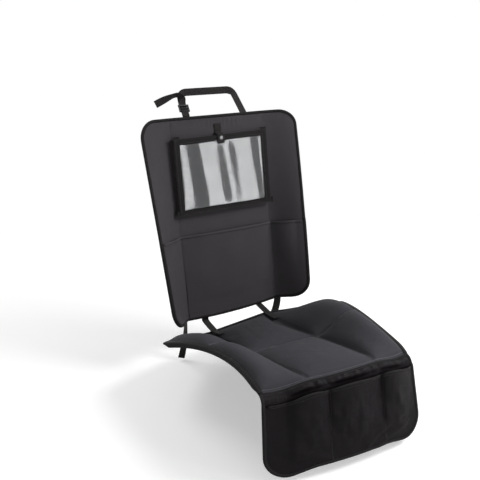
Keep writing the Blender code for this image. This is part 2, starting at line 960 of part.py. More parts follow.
def curve(start, control, end, parts):
    points = []
    for part in range(parts + 1):
        t = part / parts
        points.append(start * (1 - t) ** 2 + control * (2 * t * (1 - t)) + end * t * t)
    return points


def link_strap(name, side):
    across = side * link_strap_x

    def place(up, height):
        return back_place(across, up, height)

    foot = [foot_point(across, foot_start - foot_length * part / 6) for part in range(7)]
    start = place(-tape_cover, over_tape)
    control = Vector((across, start.y, foot[0].z + link_rise))
    points = straight_lap(place) + curve(start, control, foot[0], 7)[:-1] + foot
    ribbon(name, points, [side_ways] * len(points), webbing)


def anchor_strap(name, side):
    inner = side * back_valley
    outer = side * wing_columns[0]

    def place(up, height):
        rest = height - tape_gap
        return (back_place(inner, up, rest) + back_place(outer, up, rest)) / 2

    broad = (back_place(outer, 0, 0) - back_place(inner, 0, 0)).normalized() * side
    lap = straight_lap(place)
    start = place(-tape_cover, over_tape)
    end = start + Vector((-side * anchor_lean, -anchor_forward, -anchor_drop))
    control = start + Vector((0, 0, -anchor_drop / 2))
    fall = curve(start, control, end, 6)
    widths = [broad] * len(lap)
    widths += [broad.lerp(side_ways, part / (len(fall) - 1)) for part in range(len(fall))]
    ribbon(name, lap + fall, widths, webbing)


for side_name, side in (("left", -1), ("right", 1)):
    link_strap(f"link_strap_{side_name}", side)
    anchor_strap(f"anchor_strap_{side_name}", side)
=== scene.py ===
# Car seat protector in its worn shape: cloth, tapes, stitches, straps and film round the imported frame
import math
import bpy
import numpy as np
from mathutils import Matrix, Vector
from mathutils.bvhtree import BVHTree


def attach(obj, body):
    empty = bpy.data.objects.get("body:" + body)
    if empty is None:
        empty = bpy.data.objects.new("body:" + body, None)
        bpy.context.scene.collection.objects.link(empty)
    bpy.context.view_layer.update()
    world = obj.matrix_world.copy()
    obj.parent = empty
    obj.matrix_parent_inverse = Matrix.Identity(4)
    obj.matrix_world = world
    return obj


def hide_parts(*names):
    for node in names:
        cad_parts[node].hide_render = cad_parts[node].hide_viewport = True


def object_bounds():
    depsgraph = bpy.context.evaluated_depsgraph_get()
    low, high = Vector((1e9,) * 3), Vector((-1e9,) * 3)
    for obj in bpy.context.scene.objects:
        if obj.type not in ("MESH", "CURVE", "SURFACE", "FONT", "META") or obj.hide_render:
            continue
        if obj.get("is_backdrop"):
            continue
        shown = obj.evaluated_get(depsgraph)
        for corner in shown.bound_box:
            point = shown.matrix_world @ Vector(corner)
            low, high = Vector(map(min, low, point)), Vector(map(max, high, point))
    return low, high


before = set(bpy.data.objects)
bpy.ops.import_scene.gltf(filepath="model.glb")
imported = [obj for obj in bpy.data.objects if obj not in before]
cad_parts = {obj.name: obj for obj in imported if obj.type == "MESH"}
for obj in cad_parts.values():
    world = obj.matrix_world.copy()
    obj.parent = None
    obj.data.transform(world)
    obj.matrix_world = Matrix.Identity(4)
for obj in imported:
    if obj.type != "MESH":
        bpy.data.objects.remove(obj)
cadLow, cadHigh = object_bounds()
scene = bpy.context.scene
print("frame loaded:", len(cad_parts), "nodes")

# camera at the photo's angle
view = {"place": (-0.8662, -1.5075, 0.9914), "turn": -26.2, "height": 22.0, "focal": 58.5}
turn, height = math.radians(view["turn"]), math.radians(view["height"])
back = Vector((math.sin(turn) * math.cos(height), -math.cos(turn) * math.cos(height), math.sin(height)))
cameraData = bpy.data.cameras.new("photoCamera")
cameraData.sensor_width = 36.0
cameraData.lens = view["focal"]
camera = bpy.data.objects.new("photoCamera", cameraData)
camera.location = view["place"]
camera.rotation_mode = "QUATERNION"
camera.rotation_quaternion = (-back).to_track_quat("-Z", "Y")
scene.collection.objects.link(camera)
scene.camera = camera


# number tools
def ramp(value, start, end):  # 0 at start, 1 at end, straight between
    return np.clip((np.asarray(value, float) - start) / (end - start), 0.0, 1.0)


def ease(value):  # three times the square less twice the cube, flat at both ends
    return value * value * (3 - 2 * value)


def hill(value, middle, reach):  # e to minus the square of the distance over the reach
    return np.exp(-((np.asarray(value, float) - middle) / reach) ** 2)


def unit(vectors):  # each vector over its own length
    return vectors / np.maximum(np.linalg.norm(vectors, axis=-1, keepdims=True), 1e-12)


def smoothNoise(u, v, seed, size, octaves=3):
    # a sum of seeded sine waves in turned directions, each octave finer and weaker, about -1 to 1
    rng = np.random.default_rng(seed)
    total = np.zeros(np.broadcast(u, v).shape)
    for octave in range(octaves):
        for _ in range(5):
            angle, phase = rng.uniform(0, math.pi), rng.uniform(0, 2 * math.pi)
            pitch = size / 1.8 ** octave * rng.uniform(0.75, 1.35)
            way = u * math.cos(angle) + v * math.sin(angle)
            total = total + 0.6 ** octave * np.sin(2 * math.pi * way / pitch + phase) / 4
    return total


def spaced(start, end, step):  # even places from start to end, at about the given step
    return np.linspace(start, end, max(2, int(round(abs(end - start) / step)) + 1))


# the three worn surfaces, in metres and degrees
seat = {"pitch": 15, "front": 0.238, "bow": 0.021, "rear": 0.255, "corner": 0.146, "halfFront": 0.196,
        "halfRear": 0.269, "flareStart": -0.190, "flarePower": 1.9, "lift": 0.054, "peak": 0.020, "fall": 0.90,
        "grooveHalf": (0.084, 0.0886, 0.095, 0.096, 0.0865), "grooveShift": (-0.008, -0.0085, -0.002, 0.002, 0.009),
        "crest": 0.80, "roll": 0.05, "curl": 0.013, "curlShare": 0.45, "twist": 0.011, "noseDrop": 0.006,
        "noseStart": 1.86, "noseTurn": 20}
flap = {"lean": 12, "nose": 0.021, "length": 0.199, "flare": 0.07, "corner": 0.052, "hem": 0.0305,
        "gape": 0.017, "dividers": (-0.31, 0.49), "fold": 0.0016, "puff": 0.0075, "tack": -0.76, "sag": 0.0016,
        "halfFlat": 0.2}
panel = {"recline": 10.24, "y": 0.3050, "z": -0.020, "bow": 0.016, "bottomSkew": 0.009, "topSkew": 0.005,
         "length": 0.5396, "half": 0.2285, "halfBottom": 0.2080, "valley": 0.1390, "corner": 0.045,
         "band": 0.080, "thick": 0.0030, "forwardTop": 0.022, "forwardBottom": 0.085, "wave": 0.0012,
         "rightMore": 0.006}
storage = {"height": 0.222, "gape": 0.012, "sideGape": 0.006, "rightGape": 0.009, "thick": 0.0010, "sag": 0.0012}
window = {"half": 0.1385, "bottom": 0.2820, "top": 0.4880, "depth": 0.0140, "side": 0.0170, "topBand": 0.0160,
          "bottomBand": 0.0150, "ear": 0.0070}
layer = {"cloth": 0.0012, "pocket": 0.0010, "lining": 0.0008, "tape": 0.0008, "gap": 0.0003, "tapeGap": 0.0007,
         "cover": 0.0050}
hemRoom = 2 * layer["tapeGap"] + layer["tape"]  # what a hem tape takes up under its pocket cloth
nosePitch = math.radians(seat["pitch"] - seat["noseTurn"])


def seatBase(across, along):
    # across -2..2 with the grooves at -1 and 1, along 0 at the rear, 1 at the cross seam, 2 at the front seam:
    # a sloped plane, plus sides that rise beyond the grooves, plus a curl and a twist at the rear edge, less a
    # rounding at the front seam; the grooves' half distance and middle are curves through five given values
    a, s = np.broadcast_arrays(np.asarray(across, float), np.asarray(along, float))
    side = np.maximum(np.abs(a) - 1, 0)
    rear = seat["rear"] - (seat["rear"] - seat["corner"]) * side * side
    front = -seat["front"] - seat["bow"] * (1 - a * a / 4)
    y = np.where(s < 1, rear * (1 - s), front * (s - 1))
    fifths = np.linspace(0, 2, 5)
    groove, middle = (np.polyval(np.polyfit(fifths, seat[key], 4), s) for key in ("grooveHalf", "grooveShift"))
    spread = ramp(y, seat["flareStart"], seat["corner"])
    half = seat["halfFront"] + (seat["halfRear"] - seat["halfFront"]) * spread ** seat["flarePower"]
    x = np.sign(a) * (groove * np.minimum(np.abs(a), 1) + (half - groove) * side) + middle * (1 - side)
    lift = seat["lift"] - seat["fall"] * (y - seat["peak"]) ** 2
    curl = seat["curl"] * ramp(s, seat["curlShare"], 0) ** 2 * (1 - ease(np.minimum(side, 1)))
    crest = ease(ramp(side, 0, seat["crest"])) - seat["roll"] * ramp(side, seat["crest"], 1) ** 2
    twist = seat["twist"] * a * (1 - side) * ramp(s, 1, 0) ** 1.5
    rounding = seat["noseDrop"] * ramp(s, seat["noseStart"], 2) ** 2
    return np.stack([x, y, lift * crest + curl + twist - rounding - math.tan(math.radians(seat["pitch"])) * y], -1)


def flapAim(down):
    # the flap's slope and its arc's length: the slope grows evenly along the nose's arc, then stays
    turned = math.pi / 2 - math.radians(flap["lean"]) + nosePitch
    return nosePitch - np.minimum(down / flap["nose"], turned), flap["nose"] * turned


def flapBase(across, down):
    # across -1..1, down from the front seam: round the nose on an arc, then straight down and forward;
    # rows near the bottom bend up at the two rounded corners
    a, d = np.broadcast_arrays(np.asarray(across, float), np.asarray(down, float))
    inset = np.maximum(np.abs(a) * seat["halfFront"] - (seat["halfFront"] - flap["corner"]), 0)
    trim = flap["corner"] - np.sqrt(np.maximum(flap["corner"] ** 2 - inset ** 2, 0))
    start = flap["length"] - 2 * flap["corner"]
    d = np.where(d > start, start + (d - start) * (1 - trim / (flap["length"] - start)), d)
    seam = seatBase(2 * a, np.full(a.shape, 2.0))
    aim, noseLength = flapAim(d)
    straight = np.maximum(d - noseLength, 0)
    y = flap["nose"] * (np.sin(aim) - math.sin(nosePitch)) - straight * np.cos(aim)
    z = flap["nose"] * (np.cos(aim) - math.cos(nosePitch)) + straight * np.sin(aim)
    x = seam[..., 0] * (1 + flap["flare"] * d / flap["length"])
    return np.stack([x, seam[..., 1] + y, seam[..., 2] + z], -1)


def roundedUp(across, up):
    # rows bend up at the bottom corners and down at the top ones
    inset = np.maximum(np.abs(across) - (panel["half"] - panel["corner"]), 0)
    inset = panel["corner"] - np.sqrt(np.maximum(panel["corner"] ** 2 - inset ** 2, 0))
    low = inset + up * (1 - inset / panel["band"])
    high = panel["length"] - inset - (panel["length"] - up) * (1 - inset / panel["band"])
    return np.where(up < panel["band"], low, np.where(up > panel["length"] - panel["band"], high, up))


def panelBase(across, up):
    # a reclined plane whose wings, beyond the valleys, bend forward more at the bottom than at the top
    a, u = np.broadcast_arrays(np.asarray(across, float), np.asarray(up, float))
    u = roundedUp(a, u)
    share = u / panel["length"]
    side = a / panel["half"]
    sag = panel["bottomSkew"] * side - panel["bow"] * (1 - side * side)
    u = u + sag * ramp(u, storage["height"], 0) - panel["topSkew"] * side * ramp(u, window["top"], panel["length"])
    wing = np.maximum(np.abs(a) - panel["valley"], 0) / (panel["half"] - panel["valley"])
    edge = panel["halfBottom"] + (panel["half"] - panel["halfBottom"]) * share
    x = np.sign(a) * (np.minimum(np.abs(a), panel["valley"]) + (edge - panel["valley"]) * wing)
    x = x + panel["rightMore"] * wing * (a > 0) * np.sqrt(np.sin(math.pi * np.clip(share, 0, 1)))
    forward = panel["forwardBottom"] + (panel["forwardTop"] - panel["forwardBottom"]) * share
    bend = (wing + ease(np.minimum(wing, 1.0))) / 2
    lean = math.radians(panel["recline"])
    y = panel["y"] + u * math.sin(lean) - forward * bend * math.cos(lean)
    z = panel["z"] + u * math.cos(lean) + forward * bend * math.sin(lean)
    return np.stack([x, y, z], -1)


def facing(base, u, v, step, towards):
    # the surface's unit normal, from central differences, turned to the side that towards points to
    normal = unit(np.cross(base(u + step, v) - base(u - step, v), base(u, v + step) - base(u, v - step)))
    return normal * np.where(normal @ np.array(towards, float) < 0, -1.0, 1.0)[..., None]


def spreadOut(*values):  # numbers and arrays brought to one shape
    return np.broadcast_arrays(*(np.asarray(v, float) for v in values))


def seatNormal(across, along, step=0.01):  # the pad surface's normal on its upper side
    return facing(seatBase, across, along, step, (0, -0.2, 1))


def panelNormal(across, up):  # the panel surface's normal on its front side
    return facing(panelBase, across, up, 0.0005, (0, -1, 0))


def onSeat(across, along, lift):
    # a point of the pad surface plus its normal times the lift
    across, along, lift = spreadOut(across, along, lift)
    return seatBase(across, along) + seatNormal(across, along) * lift[..., None]


# the flap's creases: the two ends of each line in metres across and down, its rise and its reach
flapCreases = (((0.035, 0.186), (0.115, 0.146), 0.0042, 0.010), ((0.070, 0.196), (0.160, 0.158), 0.0036, 0.008),
               ((-0.150, 0.150), (-0.060, 0.196), 0.0018, 0.010), ((0.020, 0.060), (0.030, 0.150), 0.0016, 0.012),
               ((0.130, 0.060), (0.150, 0.140), 0.0022, 0.014), ((-0.095, 0.070), (-0.110, 0.150), 0.0013, 0.012))
creaseFade = 0.02
foldGrow = {"start": 0.03, "full": 0.12, "fade": 0.15, "end": 0.012}


def flapFold(across, down):
    # soft folds of the hanging cloth, sines and noise that grow from the seam down and die out at the sides, plus
    # the creases: a rise times e to minus the square of the distance from the crease's line over its reach
    begun = ramp(down, foldGrow["start"], foldGrow["full"])
    grow = begun * ramp(down, flap["length"] + foldGrow["end"], foldGrow["fade"]) * (1 - np.abs(across) ** 6)
    waves = 0.6 * np.sin(9.0 * across + 0.8) + 0.3 * np.sin(17.0 * across + 2.1 + 6 * down)
    x, y = across * flap["halfFlat"], down + np.zeros(np.shape(across))
    folds = flap["fold"] * grow * (waves + 1.1 * smoothNoise(x, down, 11, 0.10))
    for (x0, y0), (x1, y1), rise, reach in flapCreases:
        run = math.hypot(x1 - x0, y1 - y0)
        along = ((x - x0) * (x1 - x0) + (y - y0) * (y1 - y0)) / run
        off = ((x - x0) * (y1 - y0) - (y - y0) * (x1 - x0)) / run
        folds = folds + (rise * hill(off, 0, reach) * ease(ramp(along, -creaseFade, creaseFade))
                         * ease(ramp(along, run + creaseFade, run - creaseFade)))
    return folds


def onFlap(across, down, lift):
    # a point of the flap surface, plus the lift and the folds along a normal that turns from the pad's to its own
    across, down, lift = spreadOut(across, down, lift)
    aim, noseLength = flapAim(down)
    own = np.stack([np.zeros(aim.shape), np.sin(aim), np.cos(aim)], -1)
    seam = seatNormal(2 * across, np.full(across.shape, 2.0))
    share = ramp(down, 0, noseLength / 2)[..., None]
    lift = lift + flapFold(across, down)
    return flapBase(across, down) + unit(seam * (1 - share) + own * share) * lift[..., None]


calm = {"side": (0.175, 0.150), "low": (0.250, 0.272), "high": (0.520, 0.496)}
topPucker = {"rise": 0.0008, "pitch": 0.011, "middle": 0.03, "reach": 0.075, "inset": 0.012, "height": 0.016}


def panelWave(across, up):
    # the stiffened panel is nearly flat: long shallow waves that leave the window pocket calm, and fine puckers at
    # the top edge, a sine of the width times a hill over the width and the height
    waves = smoothNoise(across, up, 5, 0.22, 2) * (1 - (across / panel["half"]) ** 4)
    beside = 1 - ramp(np.abs(across), *calm["side"]) * ramp(up, *calm["low"]) * ramp(up, *calm["high"])
    fine = np.sin(2 * math.pi * across / topPucker["pitch"] + 2 * np.sin(across * 70))
    puckers = topPucker["rise"] * fine * hill(across, topPucker["middle"], topPucker["reach"])
    edge = hill(up, panel["length"] - topPucker["inset"], topPucker["height"])
    waves = waves * beside + puckers / panel["wave"] * edge
    return panel["wave"] * waves * ease(ramp(up, 0.0, 0.05)) * ease(ramp(up, panel["length"], panel["length"] - 0.02))


def onPanel(across, up, lift):
    # a point of the panel surface plus its normal times the lift and the waves
    across, up, lift = spreadOut(across, up, lift)
    lift = lift + panelWave(across, up)
    return panelBase(across, up) + panelNormal(across, up) * lift[..., None]


def onWindow(across, up, lift):
    # the window pocket stays flat on the flat middle of the panel
    across, up, lift = spreadOut(across, up, lift)
    middle = panelBase(across * 0, up) + panelNormal(across * 0, up) * lift[..., None]
    return middle + np.stack([across, across * 0, across * 0], -1)


# mesh makers
def meshPiece(name, points, quads, material, flat=None, triangles=None):
    # quads and triangles on shared points, smooth, with the cloth's flat place as the UV map
    mesh = bpy.data.meshes.new(name)
    points = np.asarray(points, np.float32).reshape(-1, 3)
    quads = np.asarray(quads, np.int32).reshape(-1, 4)
    triangles = np.zeros((0, 3), np.int32) if triangles is None else np.asarray(triangles, np.int32)
    corners = np.concatenate([quads.ravel(), triangles.ravel()])
    starts = np.concatenate([np.arange(0, quads.size, 4), quads.size + np.arange(0, triangles.size, 3)])
    mesh.vertices.add(len(points))
    mesh.vertices.foreach_set("co", points.ravel())
    mesh.loops.add(len(corners))
    mesh.loops.foreach_set("vertex_index", corners)
    mesh.polygons.add(len(starts))
    mesh.polygons.foreach_set("loop_start", starts.astype(np.int32))
    mesh.polygons.foreach_set("use_smooth", np.full(len(starts), True))
    mesh.update(calc_edges=True)
    if flat is not None:
        uvLayer = mesh.uv_layers.new(name="flatCloth")
        uvLayer.data.foreach_set("uv", np.asarray(flat, np.float32).reshape(-1, 2)[corners].ravel())
    mesh.materials.append(material)
    piece = bpy.data.objects.new(name, mesh)
    scene.collection.objects.link(piece)
    return facedOut(piece)


def facedOut(piece):
    # turns the faces over where the closed mesh's signed volume is negative
    mesh = piece.data
    points = np.empty(len(mesh.vertices) * 3)
    mesh.vertices.foreach_get("co", points)
    points = points.reshape(-1, 3) - points.reshape(-1, 3).mean(0)
    mesh.calc_loop_triangles()
    corners = np.empty(len(mesh.loop_triangles) * 3, np.int32)
    mesh.loop_triangles.foreach_get("vertices", corners)
    a, b, c = (points[corners.reshape(-1, 3)[:, k]] for k in range(3))
    if float((a * np.cross(b, c)).sum()) < 0:
        mesh.flip_normals()
    return piece


def gridFaces(rows, columns, start=0, flip=False, keep=None, wrapRows=False, wrapColumns=False):
    # quads between neighbouring rows and columns of a grid of points
    r, c = np.meshgrid(np.arange(rows if wrapRows else rows - 1), np.arange(columns if wrapColumns else columns - 1),
                       indexing="ij")
    r, c = (r.ravel(), c.ravel()) if keep is None else (r[keep], c[keep])
    r2, c2 = (r + 1) % rows, (c + 1) % columns
    quads = np.stack([r * columns + c, r * columns + c2, r2 * columns + c2, r2 * columns + c], 1) + start
    return quads[:, ::-1] if flip else quads


def freeSides(mask):
    # the cell sides between a kept cell and a dropped one, as pairs of grid corners in the cell's turning order
    rows, columns = mask.shape
    wide = np.zeros((rows + 2, columns + 2), bool)
    wide[1:-1, 1:-1] = mask
    r, c = np.meshgrid(np.arange(rows), np.arange(columns), indexing="ij")
    pairs = []
    ways = ((-1, 0, (0, 0), (0, 1)), (0, 1, (0, 1), (1, 1)), (1, 0, (1, 1), (1, 0)), (0, -1, (1, 0), (0, 0)))
    for dr, dc, a, b in ways:
        side = mask & ~wide[1 + dr:1 + dr + rows, 1 + dc:1 + dc + columns]
        first = (r[side] + a[0]) * (columns + 1) + c[side] + a[1]
        second = (r[side] + b[0]) * (columns + 1) + c[side] + b[1]
        pairs.append(np.stack([first, second], 1))
    return np.concatenate(pairs)


def closedCloth(name, below, above, flat, material, mask=None):
    # a closed thin sheet: a grid of points at each face, and a wall along every free side of the kept cells
    rows, columns = below.shape[:2]
    mask = np.ones((rows - 1, columns - 1), bool) if mask is None else mask
    count = rows * columns
    side = freeSides(mask)
    walls = np.stack([side[:, 1], side[:, 0], side[:, 0] + count, side[:, 1] + count], 1)
    floor, top = gridFaces(rows, columns, 0, True, mask), gridFaces(rows, columns, count, False, mask)
    faces = np.concatenate([top, floor, walls])
    points = np.concatenate([below.reshape(-1, 3), above.reshape(-1, 3)])
    flat = np.tile(flat.reshape(-1, 2), (2, 1))
    used, back = np.unique(faces, return_inverse=True)
    return meshPiece(name, points[used], back.reshape(faces.shape), material, flat[used])


def clothSheet(name, place, us, vs, low, high, material, keep=None, flatOf=None):
    # place(u, v, lift) gives the points of a sheet between its low and high lifts
    u, v = np.meshgrid(us, vs, indexing="xy")
    lifts = [lift(u, v) if callable(lift) else np.full(u.shape, lift) for lift in (low, high)]
    mask = None if keep is None else keep((u[:-1, :-1] + u[1:, 1:]) / 2, (v[:-1, :-1] + v[1:, 1:]) / 2)
    flat = np.stack((u, v) if flatOf is None else flatOf(u, v), -1)
    return closedCloth(name, place(u, v, lifts[0]), place(u, v, lifts[1]), flat, material, mask)


def sweep(name, rings, material, loop=False):
    # a closed profile carried along a path: rings is (steps, corners, 3), with a cap at each end unless it loops
    steps, corners = rings.shape[:2]
    points = rings.reshape(-1, 3)
    middles = rings.mean(1)
    runs = np.r_[0, np.cumsum(np.linalg.norm(np.diff(middles, axis=0), axis=1))]
    girth = np.r_[0, np.cumsum(np.linalg.norm(np.diff(rings[0], axis=0), axis=1))]
    flat = np.stack(np.meshgrid(girth, runs, indexing="xy"), -1).reshape(-1, 2)
    triangles = None
    if not loop:
        points = np.concatenate([points, middles[[0, -1]]])
        flat = np.concatenate([flat, flat[[0, (steps - 1) * corners]]])
        c = np.arange(corners)
        near = np.stack([c, (c + 1) % corners, np.full(corners, steps * corners)], 1)
        far = np.stack([(c + 1) % corners, c, np.full(corners, steps * corners + 1)], 1)
        far[:, :2] += (steps - 1) * corners
        triangles = np.concatenate([near[:, ::-1], far[:, ::-1]])
    quads = gridFaces(steps, corners, wrapRows=loop, wrapColumns=True)
    return meshPiece(name, points, quads, material, flat, triangles)


def alongPath(points, extras, step, loop=False):
    # the path and what goes with it, taken again at even steps of its length
    if loop:
        points = np.concatenate([points, points[:1]])
        extras = [np.concatenate([e, e[:1]]) for e in extras]
    runs = np.r_[0, np.cumsum(np.linalg.norm(np.diff(points, axis=0), axis=1))]
    count = max(3, int(round(runs[-1] / step)))
    at = np.linspace(0, runs[-1], count, endpoint=False) if loop else np.linspace(0, runs[-1], count + 1)

    def take(values):  # each column at the even steps
        return np.stack([np.interp(at, runs, values[:, k]) for k in range(values.shape[1])], 1)

    return take(points), [take(e) for e in extras]


def pathRuns(points, loop=False):
    # the unit direction of a path at each point
    if loop:
        return unit(np.roll(points, -1, 0) - np.roll(points, 1, 0))
    return unit(np.gradient(points, axis=0))


def softened(points, rounds):
    # each point moved halfway to the middle of its neighbours, ends kept
    points = points.copy()
    for _ in range(rounds):
        points[1:-1] = points[1:-1] / 2 + (points[:-2] + points[2:]) / 4
    return points


def squared(vectors, runs):  # each vector less its part along the run, at unit length
    return unit(vectors - runs * (vectors * runs).sum(1, keepdims=True))


tapeFold = {"step": 0.0035, "press": 0.0002, "puff": 0.00025, "puffSize": 0.028, "stray": 0.0004, "straySize": 0.09,
            "thin": 0.55, "splay": 0.0001}


def foldedTape(name, edge, normals, lows, highs, inside, material, seed, loop=False, reach=1.0):
    # binding tape: a U profile round the cloth's edge, its two legs pressed on the cloth, with a small
    # ripple from the sewing; inside is a point that the legs point to
    heights = np.stack([lows, highs], 1)
    edge, (normals, heights) = alongPath(edge, [normals, heights], tapeFold["step"], loop)
    runs = pathRuns(edge, loop)
    normals = squared(normals, runs)
    outward = np.cross(runs, normals)
    away = edge - np.asarray(inside, float)
    outward *= np.where((outward * away).sum(1) < 0, -1.0, 1.0)[:, None]
    if loop:
        outward = unit(np.roll(outward, 1, 0) + 2 * outward + np.roll(outward, -1, 0))
    distance = np.arange(len(edge)) * tapeFold["step"]
    puff = smoothNoise(distance, distance * 0, seed, tapeFold["puffSize"], 2) * tapeFold["puff"]
    stray = smoothNoise(distance, distance * 0 + 0.5, seed + 1, tapeFold["straySize"], 2) * tapeFold["stray"]
    cover = layer["cover"] * reach + stray
    gap, thick, thin = layer["tapeGap"] - tapeFold["press"], layer["tape"], tapeFold["thin"]
    low, high = heights[:, 0] - gap, heights[:, 1] + gap
    middle, half = (low + high) / 2, (high - low) / 2
    profile = []
    for angle in np.linspace(-90, 90, 7):  # round the outside of the fold
        c, s = math.cos(math.radians(angle)), math.sin(math.radians(angle))
        profile.append((c * (half * 0.5 + thick + gap) + gap * 0.4, middle + s * (half + thick)))
    outer = [(-cover, low - thick * thin - puff), (-cover * thin, low - thick - puff)] + profile
    outer += [(-cover * thin, high + thick + puff), (-cover, high + thick * thin + puff)]
    inner = [(-cover, high + tapeFold["splay"]), (-cover * 0.5, high), (gap * 0.4, high), (gap, middle),
             (gap * 0.4, low), (-cover * 0.5, low), (-cover, low - tapeFold["splay"])]
    ring = np.stack([np.stack(spreadOut(distance, r, h)[1:], 1) for r, h in outer + inner], 1)
    rings = edge[:, None] + outward[:, None] * ring[..., :1] + normals[:, None] * ring[..., 1:]
    return sweep(name, rings, material, loop)


ribbon = {"wide": 0.020, "thick": 0.0012, "fine": 0.0010, "coarse": 0.0016}
ribbonCorners = ((-0.5, -0.30), (-0.47, -0.5), (-0.2, -0.5), (0.2, -0.5), (0.47, -0.5), (0.5, -0.30),
                 (0.5, 0.30), (0.47, 0.5), (0.2, 0.5), (-0.2, 0.5), (-0.47, 0.5), (-0.5, 0.30))


def webbingStrap(name, points, widths, step, rounds):
    # webbing: a flat bar with rounded edges along a softened path, its width direction given at each point; the
    # strap's path, its outward way and its width's way go back too
    points, (widths,) = alongPath(np.asarray(points, float), [np.asarray(widths, float)], step)
    points, widths = softened(points, rounds), softened(widths, rounds)
    runs = pathRuns(points)
    broad = squared(widths, runs)
    out = np.cross(runs, broad)
    ring = np.array(ribbonCorners) * (ribbon["wide"], ribbon["thick"])
    rings = points[:, None] + broad[:, None] * ring[None, :, :1] + out[:, None] * ring[None, :, 1:]
    return sweep(name, rings, webbing), points, out, broad


# stitches: one small thread capsule for each stitch, many to a piece
thread = {"pitch": 0.0034, "length": 0.0027, "radius": 0.00032, "lift": 0.0002}
stitchCaps = ((2, 1, 0), (3, 2, 0), (4, 3, 0), (16, 17, 15), (17, 18, 15), (18, 19, 15))


def stitchRow(points, normals, lift=0.0):
    # places at even steps along a seam: the middle, the seam's run and the cloth's normal
    points, (normals,) = alongPath(np.asarray(points, float), [np.asarray(normals, float)], thread["pitch"])
    runs = pathRuns(points)
    normals = squared(normals, runs)
    return np.stack([points + normals * lift, runs, normals], 1)


def surfaceLine(place, us, vs, lift=0.0):
    # a line on one of the worn surfaces, and the unit way out of the surface at each of its points
    us, vs, lift = spreadOut(us, vs, lift)
    points = place(us, vs, lift)
    return points, unit(place(us, vs, lift + 0.001) - points)


def seamRow(place, us, vs, lift):  # a stitch row on a worn surface
    return stitchRow(*surfaceLine(place, us, vs, lift))


def stitchPiece(name, rows, material, scale=1.0):
    # every stitch is the same capsule: four rings of five corners that narrow at the ends and dip into the cloth
    places = np.concatenate(rows)
    along = np.array([-0.5, -0.28, 0.28, 0.5]) * thread["length"] * scale
    girth = np.array([0.35, 1.0, 1.0, 0.35]) * thread["radius"] * scale
    dip = np.array([-0.8, 0.25, 0.25, -0.8]) * thread["radius"] * scale
    angles = np.linspace(0, 2 * math.pi, 5, endpoint=False)
    shape = np.stack([np.repeat(along, 5), (girth[:, None] * np.cos(angles)).ravel(),
                      (girth[:, None] * np.sin(angles) + dip[:, None]).ravel()], 1)
    sides = np.cross(places[:, 2], places[:, 1])
    points = (places[:, None, 0] + places[:, None, 1] * shape[None, :, :1] + sides[:, None] * shape[None, :, 1:2]
              + places[:, None, 2] * shape[None, :, 2:])
    first = len(shape) * np.arange(len(places))[:, None, None]
    quads = (gridFaces(4, 5, wrapColumns=True)[None] + first).reshape(-1, 4)
    caps = (np.array(stitchCaps)[None] + first).reshape(-1, 3)
    flat = np.tile(shape[:, :2], (len(places), 1))
    return meshPiece(name, points.reshape(-1, 3), quads, material, flat, caps)


# materials
def newFinish(name):
    # an empty finish: its material, its shader, and three tools for its nodes: plug sets inputs or links them
    # where a socket is given, node adds a node with its inputs, and maths adds one operation
    made = bpy.data.materials.new(name)
    made.use_nodes = True
    return (made, made.node_tree.nodes["Principled BSDF"], *nodeTools(made.node_tree))


def nodeTools(tree):
    # the three tools that newFinish names, for one node tree
    def plug(owner, inputs):
        for key, value in inputs.items():
            if isinstance(value, bpy.types.NodeSocket):
                tree.links.new(value, owner.inputs[key])
            else:
                owner.inputs[key].default_value = value

    def node(kind, inputs=None, **settings):
        added = tree.nodes.new(kind)
        for key, value in settings.items():
            setattr(added, key, value)
        plug(added, inputs or {})
        return added

    def maths(operation, *values):
        return node("ShaderNodeMath", dict(enumerate(values)), operation=operation).outputs[0]

    return plug, node, maths


clothBase = {"stretch": 1.0, "twill": False, "blotch": 14.0, "crease": 60.0, "fuzz": 900.0, "creaseStrength": 0.25,
             "yarnStrength": 0.6}


